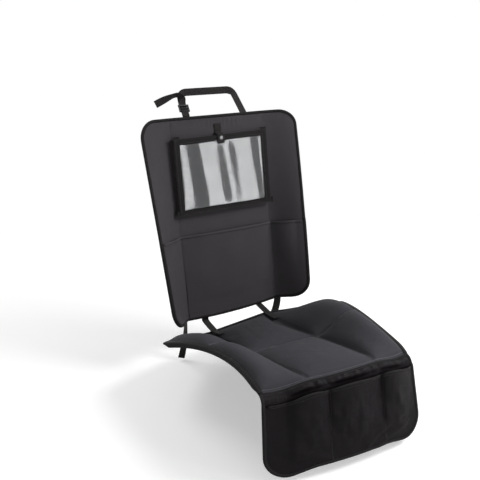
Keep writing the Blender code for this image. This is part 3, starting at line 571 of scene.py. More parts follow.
def clothFinish(name, look):
    # woven cloth: two families of rounded yarns that pass over and under each other, by the sine of the flat
    # place over the yarn width, with uneven dye, painted shade between the yarns, soft creases and a little sheen
    look = {**clothBase, **look}
    made, shader, plug, node, maths = newFinish(name)
    uv = node("ShaderNodeUVMap", uv_map="flatCloth")
    split = node("ShaderNodeSeparateXYZ", {0: uv.outputs[0]})
    warp = maths("DIVIDE", split.outputs[0], look["yarn"])
    weft = maths("DIVIDE", split.outputs[1], look["yarn"] * look["stretch"])
    count = maths("ADD", maths("FLOOR", warp), maths("FLOOR", weft))
    if look["twill"]:
        over = maths("GREATER_THAN", maths("FRACT", maths("DIVIDE", count, 3.0)), 0.4)
    else:
        over = maths("MODULO", maths("ABSOLUTE", count), 2.0)
    rise, fill = (maths("ABSOLUTE", maths("SINE", maths("MULTIPLY", yarn, math.pi))) for yarn in (warp, weft))
    weave = maths("ADD", maths("MULTIPLY", rise, over), maths("MULTIPLY", fill, maths("SUBTRACT", 1.0, over)))
    place = node("ShaderNodeTexCoord").outputs["Object"]
    broad, fine, fuzz = (node("ShaderNodeTexNoise", {"Scale": scale, "Detail": detail, "Vector": place}).outputs[0]
                         for scale, detail in ((look["blotch"], 4.0), (look["crease"], 5.0), (look["fuzz"], 2.0)))
    # the colour mixes uneven dye from two noises with painted shade: the weave's height makes the yarns' crowns
    # lighter and the hollows between them darker
    dyeAndYarnShade = maths("ADD", maths("MULTIPLY", broad, 0.55),
                maths("ADD", maths("MULTIPLY", weave, 0.25), maths("MULTIPLY", fuzz, 0.2)))
    dark, light = ((*[c * (1 + side * look["mottle"]) for c in look["colour"]], 1) for side in (-1, 1))
    tone = node("ShaderNodeMix", {"Factor": dyeAndYarnShade, "A": dark, "B": light}, data_type="RGBA")
    rough = maths("ADD", look["rough"] - 0.08, maths("MULTIPLY", fine, 0.16))
    creases = node("ShaderNodeBump", {"Strength": look["creaseStrength"], "Distance": 0.0012, "Height": fine})
    yarns = node("ShaderNodeBump", {"Strength": look["yarnStrength"], "Distance": look["yarn"] * 0.35,
                                    "Height": weave, "Normal": creases.outputs[0]})
    plug(shader, {"Sheen Weight": look["sheen"], "Sheen Roughness": 0.45, "Specular IOR Level": look["specular"],
                  "Base Color": tone.outputs["Result"], "Roughness": rough, "Normal": yarns.outputs[0]})
    return made


polyester = clothFinish("polyesterWeave", {
    "colour": (0.045, 0.041, 0.045), "rough": 0.60, "sheen": 0.03, "specular": 0.16, "yarn": 0.0006, "mottle": 0.16,
    "creaseStrength": 0.18})
nylon = clothFinish("nylonWeave", {
    "colour": (0.0068, 0.0056, 0.0066), "rough": 0.44, "sheen": 0.01, "specular": 0.08, "yarn": 0.0004,
    "mottle": 0.20, "creaseStrength": 0.45, "crease": 30.0})
quilting = clothFinish("quiltedWeave", {
    "colour": (0.049, 0.048, 0.055), "rough": 0.72, "sheen": 0.02, "specular": 0.10, "yarn": 0.0007, "mottle": 0.14,
    "creaseStrength": 0.10})
liningCloth = clothFinish("liningCloth", {
    "colour": (0.040, 0.038, 0.040), "rough": 0.78, "sheen": 0.05, "specular": 0.2, "yarn": 0.0011, "mottle": 0.18,
    "twill": True})
gripCloth = clothFinish("gripCloth", {
    "colour": (0.020, 0.020, 0.021), "rough": 0.80, "sheen": 0.04, "specular": 0.2, "yarn": 0.0008, "mottle": 0.18})
tapeCloth = clothFinish("bindingTape", {
    "colour": (0.009, 0.0078, 0.0085), "rough": 0.58, "sheen": 0.02, "specular": 0.12, "yarn": 0.0008,
    "mottle": 0.15, "twill": True})
webbing = clothFinish("strapWebbing", {
    "colour": (0.018, 0.016, 0.0155), "rough": 0.64, "sheen": 0.03, "specular": 0.18, "yarn": 0.0016, "mottle": 0.2,
    "twill": True, "stretch": 0.7, "yarnStrength": 0.9})
sewing = {"rough": 0.55, "sheen": 0.05, "specular": 0.3, "yarn": 0.0003, "mottle": 0.2}
paleThread = clothFinish("paleThread", {"colour": (0.165, 0.165, 0.18), **sewing})
threadYarn = clothFinish("sewingThread", {"colour": (0.030, 0.027, 0.028), **sewing})


def mouldedFinish(name, colour, rough, metallic=0.0, grain=700.0, strength=0.15):
    # plastic, metal or rubber: a noise gives fine grain, and a broader one handling marks
    made, shader, plug, node = newFinish(name)[:4]
    place = node("ShaderNodeTexCoord").outputs["Object"]
    broad, fine = (node("ShaderNodeTexNoise", {"Scale": scale, "Vector": place}).outputs[0]
                   for scale in (90.0, grain))
    dark, light = ((*[min(c * share, 1) for c in colour], 1) for share in (0.82, 1.2))
    tone = node("ShaderNodeMix", {"Factor": broad, "A": dark, "B": light}, data_type="RGBA")
    spread = node("ShaderNodeMapRange", {"Value": broad, "To Min": rough * 0.75, "To Max": min(rough * 1.25, 1.0)})
    bump = node("ShaderNodeBump", {"Strength": strength, "Distance": 0.0002, "Height": fine})
    plug(shader, {"Metallic": metallic, "Base Color": tone.outputs["Result"], "Roughness": spread.outputs[0],
                  "Normal": bump.outputs[0]})
    return made


plastic = mouldedFinish("bucklePlastic", (0.018, 0.018, 0.019), 0.42)
steel = mouldedFinish("studSteel", (0.13, 0.13, 0.135), 0.34, 1.0, 1500.0, 0.05)
rubber = mouldedFinish("gripRubber", (0.028, 0.028, 0.030), 0.55)


def filmFinish(name, colour, haze, rough):
    # clear film: see-through, with a white gloss that grows at glancing angles and a little milky haze
    made, shader, plug, node = newFinish(name)[:4]
    place = node("ShaderNodeTexCoord").outputs["Object"]
    noise = node("ShaderNodeTexNoise", {"Scale": 26.0, "Detail": 3.0, "Vector": place}).outputs[0]
    spread = node("ShaderNodeMapRange", {"Value": noise, "To Min": rough * 0.6, "To Max": rough * 1.6}).outputs[0]
    bump = node("ShaderNodeBump", {"Strength": 0.12, "Distance": 0.0012, "Height": noise}).outputs[0]
    plug(shader, {"Base Color": (*colour, 1), "Roughness": spread, "Normal": bump})
    gloss = node("ShaderNodeBsdfAnisotropic", {"Roughness": spread, "Normal": bump})
    clear = node("ShaderNodeBsdfTransparent", {"Color": (0.93, 0.94, 0.95, 1)})
    milky = node("ShaderNodeMixShader", {0: haze, 1: clear.outputs[0], 2: shader.outputs[0]})
    fresnel = node("ShaderNodeFresnel", {"IOR": 1.5})
    mix = node("ShaderNodeMixShader", {0: fresnel.outputs[0], 1: milky.outputs[0], 2: gloss.outputs[0]})
    plug(made.node_tree.nodes["Material Output"], {"Surface": mix.outputs[0]})
    return made


clearFilm = filmFinish("clearFilm", (0.75, 0.77, 0.79), 0.02, 0.10)
print("finishes made")

pieces = []


def dress(piece, slot, *nodes, flat=None, held="stretched", rests=(), area=None, fill=None):
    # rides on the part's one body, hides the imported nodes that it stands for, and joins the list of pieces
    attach(piece, "root")
    if nodes:
        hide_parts(*nodes)
    if flat:
        list(rests)
    pieces.append(piece)


# seat pad: the quilted top swells between its seams by a cloth simulation
pad = {"columns": 150, "rows": 132, "edge": 0.0030, "crown": 0.0175, "groovePinch": 0.0036, "grooveReach": 0.040,
       "puckerPitch": 0.013, "lip": 0.0042, "lipPlace": 1.020, "lipReach": 0.009, "soft": 0.0007, "droop": 0.0095,
       "border": 0.10, "wing": 0.72, "wingStart": 1.07, "centreEnd": 0.95, "fields": ((0.07, 0.970), (1.022, 1.965)),
       "flat": (0.115, 0.25), "fill": 0.45}
swelling = {"pressure": 3.0, "frames": 16, "cap": 0.005}
coverCloth = {"quality": 5, "mass": 0.25, "tension_stiffness": 30, "compression_stiffness": 30, "shear_stiffness": 15,
              "bending_stiffness": 8, "shrink_min": 0.0, "pin_stiffness": 1}


def quiltFill(a, s):
    # the foam under the cover: full in the middle of each of the six fields and pressed flat at their seams, as 1
    # less the cube or the fourth power of the distance from the field's middle over its half width
    side = np.abs(a)
    centre = np.clip(1 - (side / pad["centreEnd"]) ** 3.0, 0, 1) * (side < pad["centreEnd"])
    middle, half = (pad["wingStart"] + 2 - pad["border"]) / 2, (2 - pad["border"] - pad["wingStart"]) / 2
    wing = np.clip(1 - (np.abs(side - middle) / half) ** 4, 0, 1) * (side > 1)
    rows = 0
    for start, end in pad["fields"]:
        full = np.clip(1 - np.abs((s - (start + end) / 2) / ((end - start) / 2)) ** 4, 0, 1)
        rows = rows + full * ((s > start) & (s < end))
    return (centre + pad["wing"] * wing) * rows


def seamPull(a, s):
    # how near a point is, 1 on the seam: first to a quilting or side seam, then to the rear or front seam
    side = np.abs(a)
    near = np.maximum(hill(side, 1.0, pad["grooveReach"]), hill(s, 1.0, pad["grooveReach"] * 0.8))
    return np.maximum(near, ramp(side, 1.95, 1.98)), np.maximum(ramp(s, 0.06, 0.03), ramp(s, 1.975, 1.99))


seamSteps = np.array([-0.015, 0, 0.015])  # grid lines on both sides of a seam
padAcross = np.unique(np.round(np.concatenate([np.linspace(-2, 2, pad["columns"]), seamSteps - 1, seamSteps + 1]), 5))
padAlong = np.unique(np.round(np.concatenate([np.linspace(0, 2, pad["rows"]), seamSteps + 1]), 5))
padU, padV = np.meshgrid(padAcross, padAlong, indexing="xy")
padFlatU, padFlatV = padU * pad["flat"][0], -padV * pad["flat"][1]
padEdge = layer["cloth"] + layer["gap"] * 2
padFill = quiltFill(padU, padV)
nearSeam, nearEnd = seamPull(padU, padV)
held = np.clip(np.maximum(nearSeam, nearEnd), 0, 1)
padLift = padEdge + layer["cloth"] + pad["edge"] * (padFill > 0) * (1 - held) + pad["crown"] * padFill
padTop = onSeat(padU, padV, padLift)


def swell(points, pins):
    # Blender's cloth with pressure and no gravity on the open top sheet, its seams pinned
    piece = meshPiece("swellingCover", points.reshape(-1, 3), gridFaces(*points.shape[:2]), quilting)
    mesh = piece.data
    if mesh.polygons[len(mesh.polygons) // 2].normal.z < 0:
        mesh.flip_normals()
    group = piece.vertex_groups.new(name="sewn")
    weights = np.round(pins.ravel(), 1)
    for weight in np.unique(weights[weights > 0]):
        group.add(np.nonzero(weights == weight)[0].tolist(), float(weight), "REPLACE")
    cloth = piece.modifiers.new("swell", "CLOTH")
    for key, value in coverCloth.items():
        setattr(cloth.settings, key, value)
    cloth.settings.use_pressure = True
    cloth.settings.uniform_pressure_force = swelling["pressure"]
    cloth.settings.effector_weights.gravity = 0
    cloth.settings.vertex_group_mass = "sewn"
    cloth.collision_settings.use_collision = False
    scene.frame_start, scene.frame_end = 1, swelling["frames"]
    cloth.point_cache.frame_start, cloth.point_cache.frame_end = 1, swelling["frames"]
    for number in range(1, swelling["frames"] + 1):
        scene.frame_set(number)
    graph = bpy.context.evaluated_depsgraph_get()
    swollen = piece.evaluated_get(graph).to_mesh()
    out = np.empty(len(swollen.vertices) * 3)
    swollen.vertices.foreach_get("co", out)
    scene.frame_set(1)
    bpy.data.objects.remove(piece, do_unlink=True)
    moved = out.reshape(points.shape) - points
    reach = np.linalg.norm(moved, axis=-1, keepdims=True)
    return points + moved * np.minimum(1, swelling["cap"] / np.maximum(reach, 1e-9))


padTop = swell(padTop, held)
padNormal = seatNormal(padU, padV)
pinch = nearSeam * (1 - ramp(np.abs(padU), 1.90, 1.97))
gathers = np.sin(2 * math.pi * (padFlatU + padFlatV) / pad["puckerPitch"] + 1.3 * np.sin(padFlatV * 90))
puckers = pad["groovePinch"] * pinch * (1 + 0.10 * gathers)
softness = pad["soft"] * smoothNoise(padFlatU, padFlatV, 21, 0.07) * padFill
lip = pad["lip"] * hill(padV, pad["lipPlace"], pad["lipReach"]) * (1 - np.clip(np.abs(padU) / 0.93, 0, 1) ** 8)
padTop = padTop + padNormal * (softness + lip - puckers * (padFill + 0.15))[..., None]
floorLift = ((padTop - onSeat(padU, padV, 0)) * padNormal).sum(-1)
padTop = padTop + padNormal * np.maximum(0, padEdge + layer["cloth"] * 0.6 - floorLift)[..., None]
padBelow = onSeat(padU, padV, layer["cloth"] + layer["gap"])
seatPad = closedCloth("seatPad", padBelow, padTop, np.stack([padFlatU, padFlatV], -1), quilting)
dress(seatPad, "charcoal_quilting", "seat_cover", "foam_rear_left", "foam_rear_centre", "foam_rear_right",
      "foam_front_left", "foam_front_centre", "foam_front_right", fill=pad["fill"])
print("seat pad made")

backing = clothSheet("seatBacking", onSeat, padAcross[::2], padAlong[::2], 0.0, layer["cloth"], gripCloth,
                     flatOf=lambda u, v: (u * pad["flat"][0], -v * pad["flat"][1]))
dress(backing, "grip_backing", "seat_backing", flat=(0.54, 0.53), held="laid", area=0.235, rests=["seatPad"])

dots = {"pitch": 0.0125, "radius": 0.0024, "height": 0.0011, "sink": 0.0003, "rows": 38, "halfRow": 22, "start": 0.06,
        "squeeze": 0.98}


def gripDots():
    # rows of domes on the underside, every second row shifted by half a pitch: height times 1 - (r/radius)^2
    rows = []
    for row in range(dots["rows"]):
        steps = np.arange(-dots["halfRow"], dots["halfRow"] + 1) + (row % 2) / 2
        across = steps * dots["pitch"] / pad["flat"][0] * dots["squeeze"]
        rows.append(np.stack(spreadOut(across, dots["start"] + row * dots["pitch"] / pad["flat"][1]), 1))
    places = np.concatenate(rows)
    places = places[(np.abs(places[:, 0]) < 1.9) & (places[:, 1] < 1.94)]
    middle = onSeat(places[:, 0], places[:, 1], 0.0)
    normal = seatNormal(places[:, 0], places[:, 1])
    side = unit(np.cross(normal, np.array([0, 1.0, 0])))
    forth = np.cross(normal, side)
    angles = np.linspace(0, 2 * math.pi, 8, endpoint=False)
    shape = [(0.0, 0.0, -1.0)]
    for share in (0.6, 1.0):
        shape += [(share * math.cos(a), share * math.sin(a), -(1 - share ** 2)) for a in angles]
    shape = np.array(shape) * (dots["radius"], dots["radius"], dots["height"])
    shape = np.concatenate([shape, [[0, 0, dots["sink"]]]])
    points = (middle[:, None] + side[:, None] * shape[None, :, :1] + forth[:, None] * shape[None, :, 1:2]
              + normal[:, None] * shape[None, :, 2:])
    k = np.arange(8)
    after = (k + 1) % 8
    top = np.stack([np.zeros(8, int), 1 + k, 1 + after], 1)
    floor = np.stack([np.full(8, 17), 9 + after, 9 + k], 1)
    ring = np.stack([1 + k, 9 + k, 9 + after, 1 + after], 1)
    first = len(shape) * np.arange(len(places))[:, None, None]
    quads = (ring[None] + first).reshape(-1, 4)
    triangles = (np.concatenate([top, floor])[None] + first).reshape(-1, 3)
    flat = np.tile(shape[:, :2], (len(places), 1))
    return meshPiece("gripDots", points.reshape(-1, 3), quads, rubber, flat, triangles)


dress(gripDots(), "grip_backing")

edgeSide, edgeRear = np.linspace(2, 0, 60), np.linspace(-2, 2, 130)[1:-1]
padEdgeAcross = np.concatenate([np.full(60, -2.0), edgeRear, np.full(60, 2.0)])
padEdgeAlong = np.concatenate([edgeSide, np.zeros(len(edgeRear)), edgeSide[::-1]])
padEdgeLine = onSeat(padEdgeAcross, padEdgeAlong, 0.0)
padEdgeNormal = seatNormal(padEdgeAcross * 0.999, np.clip(padEdgeAlong, 0.002, 1.998), 0.002)
padHigh = np.full(len(padEdgeAcross), padEdge + layer["cloth"])
droop = (pad["droop"] * (np.abs(padEdgeAcross) > 1.99) * ease(ramp(padEdgeAlong, 0.0, 0.12))
         * ease(ramp(padEdgeAlong, 2.0, 1.9)))
seatBinding = foldedTape("seatBinding", padEdgeLine, padEdgeNormal, -droop, padHigh, (0, -0.02, -0.01), tapeCloth,
                         seed=31, reach=1.7)
dress(seatBinding, "binding_tape", "seat_binding")

padTree = BVHTree.FromObject(seatPad, bpy.context.evaluated_depsgraph_get())
rayHeight = 0.05
padSeams = {"beside": 1.028, "front": 1.975, "side": 1.955, "rear": 0.014, "lift": 0.0004, "rearLift": 0.0016}


def padRow(us, vs, lift=padSeams["lift"]):
    # a stitch row laid on the finished pad by rays from above
    us, vs = spreadOut(us, vs)
    start, normal = onSeat(us, vs, rayHeight), seatNormal(us, vs)
    hits = []
    for point, way in zip(start, normal):
        found = padTree.ray_cast(Vector(point), Vector(-way))[0]
        hits.append(found if found is not None else point - way * rayHeight)
    return stitchRow(np.array(hits), normal, lift=lift)


wholeAlong, sideAlong = np.linspace(0.04, 1.97, 90), np.linspace(0.04, 1.97, 80)
wholeAcross = np.linspace(-1.94, 1.94, 90)
padRows = [padRow(-1, wholeAlong), padRow(1, wholeAlong), padRow(wholeAcross, 1),
           padRow(-padSeams["side"], sideAlong),
           padRow(np.linspace(-1.96, 1.96, 90), padSeams["rear"], padSeams["rearLift"])]
paleRows = [padRow(wholeAcross, padSeams["beside"]), padRow(np.linspace(-1.95, 1.95, 90), padSeams["front"]),
            padRow(padSeams["side"], sideAlong)]
dress(stitchPiece("padStitches", padRows, threadYarn), "binding_tape")
dress(stitchPiece("padTopstitches", paleRows, paleThread, 1.25), "binding_tape")
print("pad edges and seams made")

# front flap and its three pockets
corners = 1 - flap["corner"] / seat["halfFront"]
pocketEnd = corners + (1 - corners) * math.sin(math.radians(60))
mouths = ((flap["tack"], flap["dividers"][0]), flap["dividers"], (flap["dividers"][1], pocketEnd))
band = {"shares": (0.9, 1.0, 0.8), "lumps": 0.45, "start": (0.003, 0.009), "end": (0.0215, 0.0135),
        "seamLift": 0.0026, "seamFade": 0.007}
flapLow = layer["cloth"] + hemRoom


def bandPuff(across, down):
    # the cloth starts a little above the seam, rolls out between seam and hem over each mouth as the root of a
    # sine, and goes back under the hem
    total = np.zeros(np.broadcast(across, down).shape)
    for (start, end), share in zip(mouths, band["shares"]):
        width = np.sin(math.pi * np.clip((across - start) / (end - start), 0, 1)) ** 0.5
        total = total + share * width * ((across > start) & (across < end))
    lumps = 1 + band["lumps"] * smoothNoise(across * flap["halfFlat"], down * 0.4, 71, 0.035, 2)
    rolled = flap["puff"] * total * lumps * ramp(down, *band["start"]) * ease(ramp(down, *band["end"]))
    return band["seamLift"] * ease(ramp(down, band["seamFade"], 0.0)) + rolled


def bandSkin(across, down):  # the outer face of the flap's own cloth
    return bandPuff(across, down) + layer["cloth"]


def flapGape(across, down):
    # each pocket stands open at its hem, widest near its left end, less and less towards the bottom:
    # t to the 0.45 times (1-t) to the 0.8 over its width
    depth = ramp(down, flap["length"] - flap["corner"] / 2, flap["hem"]) ** 0.9
    total = np.zeros(np.broadcast(across, down).shape)
    for start, end in mouths:
        inside = (across > start) & (across < end)
        share = np.clip((across - start) / (end - start), 0, 1)
        belly = share ** 0.45 * (1 - share) ** 0.8 / 0.44
        total = total + inside * belly * depth * flap["gape"]
    return total


def pocketCloth(across, down):
    # the pocket cloth's inner face: its gape and soft creases where it stands open
    crease = flap["sag"] * smoothNoise(across * flap["halfFlat"], down, 47, 0.06) * ramp(down, flap["hem"], 0.08)
    return flapLow + flapGape(across, down) + np.maximum(crease * ramp(flapGape(across, down), 0, 0.004), -0.0012)


roundShare = np.sin(np.linspace(0, math.pi / 2, 14))
flapOuter = corners + (1 - corners) * roundShare
flapAcross = np.concatenate([-flapOuter[::-1], np.linspace(-corners, corners, 121)[1:-1], flapOuter])
flapDown = np.concatenate([np.linspace(0.0008, 0.030, 18), np.linspace(0.033, flap["length"], 76)])
pocketDown = np.linspace(0, 1, 74)


def pocketRow(across, share):
    # the hem runs a little higher where its pocket stands open, so that it looks straight from the front
    top = flap["hem"] - 0.40 * flapGape(across, flap["hem"])
    return top + (flap["length"] - top) * share


def onPocket(across, share, lift):
    # share runs from the hem to the bottom, and lift counts from the pocket cloth's inner face
    down = pocketRow(across, share)
    return onFlap(across, down, pocketCloth(across, down) + lift)


frontFlap = clothSheet("frontFlap", onFlap, flapAcross, flapDown, bandPuff, bandSkin, nylon,
                       flatOf=lambda u, v: (u * flap["halfFlat"], -v))
flapPocket = clothSheet("flapPocket", onPocket, flapAcross, pocketDown, 0.0, layer["pocket"], nylon,
                        flatOf=lambda u, v: (u * flap["halfFlat"], -v * 0.18))


def flapEdge():
    # the flap's free edge: down its left side, round the bottom and up its right side
    bottom = np.concatenate([-flapOuter[::-1], np.linspace(-corners, corners, 124)[1:-1], flapOuter])
    across = np.concatenate([np.full(90, -1.0), bottom, np.full(90, 1.0)])
    down = np.concatenate([np.linspace(0.0008, flap["length"], 90), np.full(len(bottom), flap["length"]),
                           np.linspace(flap["length"], 0.0008, 90)])
    return across, down


edgeAcross, edgeDown = flapEdge()
flapEdgeLine, flapEdgeNormal = surfaceLine(onFlap, edgeAcross, edgeDown)
belowHem = ramp(edgeDown, flap["hem"] - 0.006, flap["hem"])
flapHigh = layer["cloth"] + (flapLow + layer["pocket"] - layer["cloth"]) * belowHem
flapBinding = foldedTape("flapBinding", flapEdgeLine, flapEdgeNormal, np.zeros(len(edgeDown)), flapHigh,
                         (0, -0.27, -0.03), tapeCloth, seed=37)
hemAcross = np.linspace(-0.955, 0.955, 190)
hemLine, hemNormal = surfaceLine(onPocket, hemAcross, 0.0)
flapHem = foldedTape("flapPocketHem", hemLine, hemNormal, np.zeros(190), np.full(190, layer["pocket"]),
                     (0, -0.30, -3.0), tapeCloth, seed=41, reach=0.7)
dress(flapBinding, "binding_tape", "flap_binding")
dress(flapHem, "binding_tape", "flap_pocket_hem")
dress(frontFlap, "black_nylon", "front_flap", flat=(0.42, 0.205), held="hung", rests=["seatPad"])
dress(flapPocket, "black_nylon", "flap_pocket", flat=(0.43, 0.172), held="hung", rests=["frontFlap"])

flapSeams = {"pair": 0.006, "hem": 0.0036, "top": 0.006, "tacks": (-0.93, -0.85, flap["tack"] - 0.01)}
flapRows = []
dividerDown = np.linspace(flap["hem"] + 0.004, flap["length"] - 0.006, 60)
for divider in flap["dividers"]:
    for across in (divider - flapSeams["pair"], divider + flapSeams["pair"]):
        skin = pocketCloth(across, dividerDown) + layer["pocket"] + thread["lift"]
        flapRows.append(seamRow(onFlap, across, dividerDown, skin))
hemShare = flapSeams["hem"] / (flap["length"] - flap["hem"])
hemSeam = onPocket(hemAcross[3:-3], hemShare, layer["pocket"] + layer["tape"] + layer["tapeGap"])
flapRows.append(stitchRow(hemSeam, hemNormal[3:-3]))
flapRows.append(seamRow(onFlap, np.linspace(-0.97, 0.97, 150), flapSeams["top"], layer["cloth"] + thread["lift"]))
tackDown = np.linspace(0.0155, 0.0215, 14)
for across in flapSeams["tacks"]:
    flapRows.append(seamRow(onFlap, across, tackDown, bandSkin(across, tackDown) + thread["lift"]))
dress(stitchPiece("flapStitches", flapRows, threadYarn), "binding_tape")
print("front flap made")

# back panel, lining and storage pocket
flatHalf, flatTop = panel["half"] - panel["corner"], panel["length"] - panel["band"]
roundOuter = flatHalf + panel["corner"] * np.sin(np.linspace(0, math.pi / 2, 12))
panelAcross = np.concatenate([-roundOuter[::-1], spaced(-flatHalf, flatHalf, 0.0036)[1:-1], roundOuter])
panelUp = np.concatenate([spaced(0, panel["band"], 0.004), spaced(panel["band"], flatTop, 0.0048)[1:-1],
                          spaced(flatTop, panel["length"], 0.004)])
pocketUp = np.unique(np.append(panelUp[(panelUp > 0) & (panelUp <= storage["height"])], (0.0015, storage["height"])))
valleySeam = {"depth": 0.0006, "inset": 0.003, "reach": 0.0022}
liningLow = -layer["gap"] - layer["lining"]
storageLow = panel["thick"] + hemRoom


def panelSkin(across, up):  # the cover's face; the sewn crease at each valley presses it in a little
    place = panel["valley"] - valleySeam["inset"]
    return panel["thick"] - valleySeam["depth"] * hill(np.abs(across), place, valleySeam["reach"])


def storageGape(across, up):
    # the pocket stands open in the middle as a power of a cosine, and a little over each wing as a sine
    rise = ramp(up, panel["corner"], storage["height"]) ** 0.8
    side = np.abs(across)
    middle = storage["gape"] * np.cos(math.pi / 2 * np.clip(side / panel["valley"], 0, 1)) ** 0.7
    outer = panel["half"] - panel["corner"] / 2
    most = np.where(across > 0, storage["rightGape"], storage["sideGape"])
    wing = most * np.sin(math.pi * np.clip((side - panel["valley"]) / (outer - panel["valley"]), 0, 1))
    return np.where(side < panel["valley"], middle, wing) * rise


def storageCloth(across, up):
    # the storage pocket's inner face: its gape and a soft sag where it stands open
    sag = storage["sag"] * smoothNoise(across, up * 0.6, 53, 0.16, 2) * ramp(up, 0.03, 0.10)
    return storageLow + storageGape(across, up) + np.maximum(sag * ramp(storageGape(across, up), 0, 0.004), -0.001)


def storageSkin(across, up):  # the storage pocket's outer face
    return storageCloth(across, up) + storage["thick"]


lining = clothSheet("backLining", onPanel, panelAcross[::2], panelUp[::2], liningLow, -layer["gap"], liningCloth)
backPanel = clothSheet("backPanel", onPanel, panelAcross, panelUp, 0.0, panelSkin, polyester)
storagePocket = clothSheet("storagePocket", onPanel, panelAcross, pocketUp, storageCloth, storageSkin, polyester)

sideUp = panelUp[1:-1]
loopAcross = np.concatenate([panelAcross, np.full(len(sideUp), panel["half"]), panelAcross[::-1],
                             np.full(len(sideUp), -panel["half"])])
loopUp = np.concatenate([np.zeros(len(panelAcross)), sideUp, np.full(len(panelAcross), panel["length"]),
                         sideUp[::-1]])
panelEdgeLine, panelEdgeNormal = surfaceLine(onPanel, loopAcross, loopUp)
besidePocket = ramp(loopUp, storage["height"] + 0.008, storage["height"])
topLayer = panel["thick"] + (storageLow + storage["thick"] - panel["thick"]) * besidePocket
backBinding = foldedTape("backBinding", panelEdgeLine, panelEdgeNormal, np.full(len(loopUp), liningLow), topLayer,
                         (0, 0.34, 0.25), tapeCloth, seed=43, loop=True)
storeAcross = panelAcross[np.abs(panelAcross) < panel["half"] - 0.006]
storeFlat = np.zeros(len(storeAcross))
storeLow = storageCloth(storeAcross, storage["height"])
storeLine, storeNormal = surfaceLine(onPanel, storeAcross, storage["height"], storeLow)
storageHem = foldedTape("storageHem", storeLine, storeNormal, storeFlat, storeFlat + storage["thick"],
                        (0, 0.30, -3.0), polyester, seed=44)
dress(backBinding, "binding_tape", "back_binding")
dress(storageHem, "binding_tape", "storage_pocket_hem")
dress(backPanel, "black_polyester", "back_panel", flat=(0.50, 0.56), rests=["backLining"])
dress(lining, "black_lining", "back_lining", flat=(0.50, 0.56), rests=["backPanel"])
dress(storagePocket, "black_polyester", "storage_pocket", flat=(0.50, 0.23), held="hung", rests=["backPanel"])

panelSeams = {"pocket": -0.0025, "cover": -0.003, "rear": 0.004, "hem": 0.0036}
panelRows = []
pocketSeam = np.linspace(0.012, storage["height"] - 0.003, 60)
coverSeam = np.linspace(storage["height"] + 0.004, panel["length"] - 0.008, 80)
rearSeam = np.linspace(0.010, panel["length"] - 0.010, 100)
for side in (-1, 1):
    across = side * (panel["valley"] + panelSeams["pocket"])
    panelRows.append(seamRow(onPanel, across, pocketSeam, storageSkin(across, pocketSeam) + thread["lift"]))
    across = side * (panel["valley"] + panelSeams["cover"])
    panelRows.append(seamRow(onPanel, across, coverSeam, panelSkin(across, coverSeam) + thread["lift"]))
    across = side * (panel["valley"] + panelSeams["rear"])
    panelRows.append(seamRow(onPanel, across, rearSeam, liningLow - thread["lift"]))
hemUp = storage["height"] - panelSeams["hem"]
hemLift = storageSkin(storeAcross, hemUp) + layer["tape"] + layer["tapeGap"]
panelRows.append(seamRow(onPanel, storeAcross, hemUp, hemLift))
dress(stitchPiece("panelStitches", panelRows, threadYarn), "binding_tape")
print("back panel made")

# window pocket: gusset, film and a frame of folded cloth
opening = {"side": window["half"] - window["side"], "low": window["bottom"] + window["bottomBand"],
           "high": window["top"] - window["topBand"]}
wall = {"thick": 0.0010, "buckle": 0.0009, "step": 0.003, "rows": 7}
filmCut = {"thick": 0.0006, "under": 0.0060, "step": 0.004}
ripple = {"depth": 0.0011, "lean": 0.5, "middle": 0.385, "reach": 0.092, "sewn": 0.004}
frameRoll = {"rise": 0.0011, "uneven": 0.0004, "step": 0.0025, "seams": (0.0045, 0.0125)}
gussetTop = panel["thick"] + window["depth"]
filmLow = gussetTop + layer["gap"]
frameLow = filmLow + filmCut["thick"] + layer["gap"]
frameHigh = frameLow + layer["cloth"]


def gussetLine():
    # the gusset's run: down the left side, along the bottom and up the right side
    half, low, high = window["half"] - wall["thick"] / 2, window["bottom"] + wall["thick"] / 2, window["top"]
    points = np.array([(-half, high, 0.0), (-half, low, 0.0), (half, low, 0.0), (half, high, 0.0)])
    return alongPath(points, [], wall["step"])[0]


gussetPath = gussetLine()
runs = pathRuns(gussetPath)
sideWay = np.stack([-runs[:, 1], runs[:, 0]], 1)
lifts = np.linspace(panel["thick"] + layer["gap"], gussetTop, wall["rows"])
places = np.arange(len(gussetPath))
bulge = np.sin(np.linspace(0, math.pi, wall["rows"]))[None]
buckled = wall["buckle"] * bulge * (1 + 0.5 * np.sin(places * 0.55))[:, None]
faces = []
for offset in (wall["thick"] / 2, -wall["thick"] / 2):
    spot = gussetPath[:, None, :2] + sideWay[:, None] * (offset + buckled[..., None])
    faces.append(onWindow(spot[..., 0], spot[..., 1], lifts))
flatGusset = np.stack(np.meshgrid(lifts, places * wall["step"], indexing="xy"), -1)
gusset = closedCloth("windowGusset", faces[0], faces[1], flatGusset, polyester)
dress(gusset, "black_polyester", "window_gusset", flat=(0.70, 0.0137), held="stretched", rests=["backPanel"])

filmHalf = opening["side"] + filmCut["under"]
filmAcross = spaced(-filmHalf, filmHalf, filmCut["step"])
filmUp = spaced(opening["low"] - filmCut["under"], opening["high"] + filmCut["under"], filmCut["step"])


def filmLift(across, up):
    # upright ripples of soft film between its sewn edges: sines of the width that drift with the height
    sides = 1 - (across / (filmHalf - ripple["sewn"])) ** 8
    free = sides * (1 - ((up - ripple["middle"]) / ripple["reach"]) ** 8)
    waves = np.sin(across * 46 + 0.6 + ripple["lean"] * np.sin(up * 16)) + 0.22 * np.sin(across * 118 + 2.0 + up * 9)
    return filmLow - np.clip(free, 0, 1) * ripple["depth"] * (1 + waves)


film = clothSheet("windowFilm", onWindow, filmAcross, filmUp, filmLift,
                  lambda u, v: filmLift(u, v) + filmCut["thick"], clearFilm)
dress(film, "clear_film", "window_film", flat=(0.255, 0.187), held="stretched", rests=["windowFrame"])


def frameLines(start, end, *edges):
    # even grid lines of the frame, with its edges among them
    return np.unique(np.round(np.append(spaced(start, end, frameRoll["step"]), edges), 5))


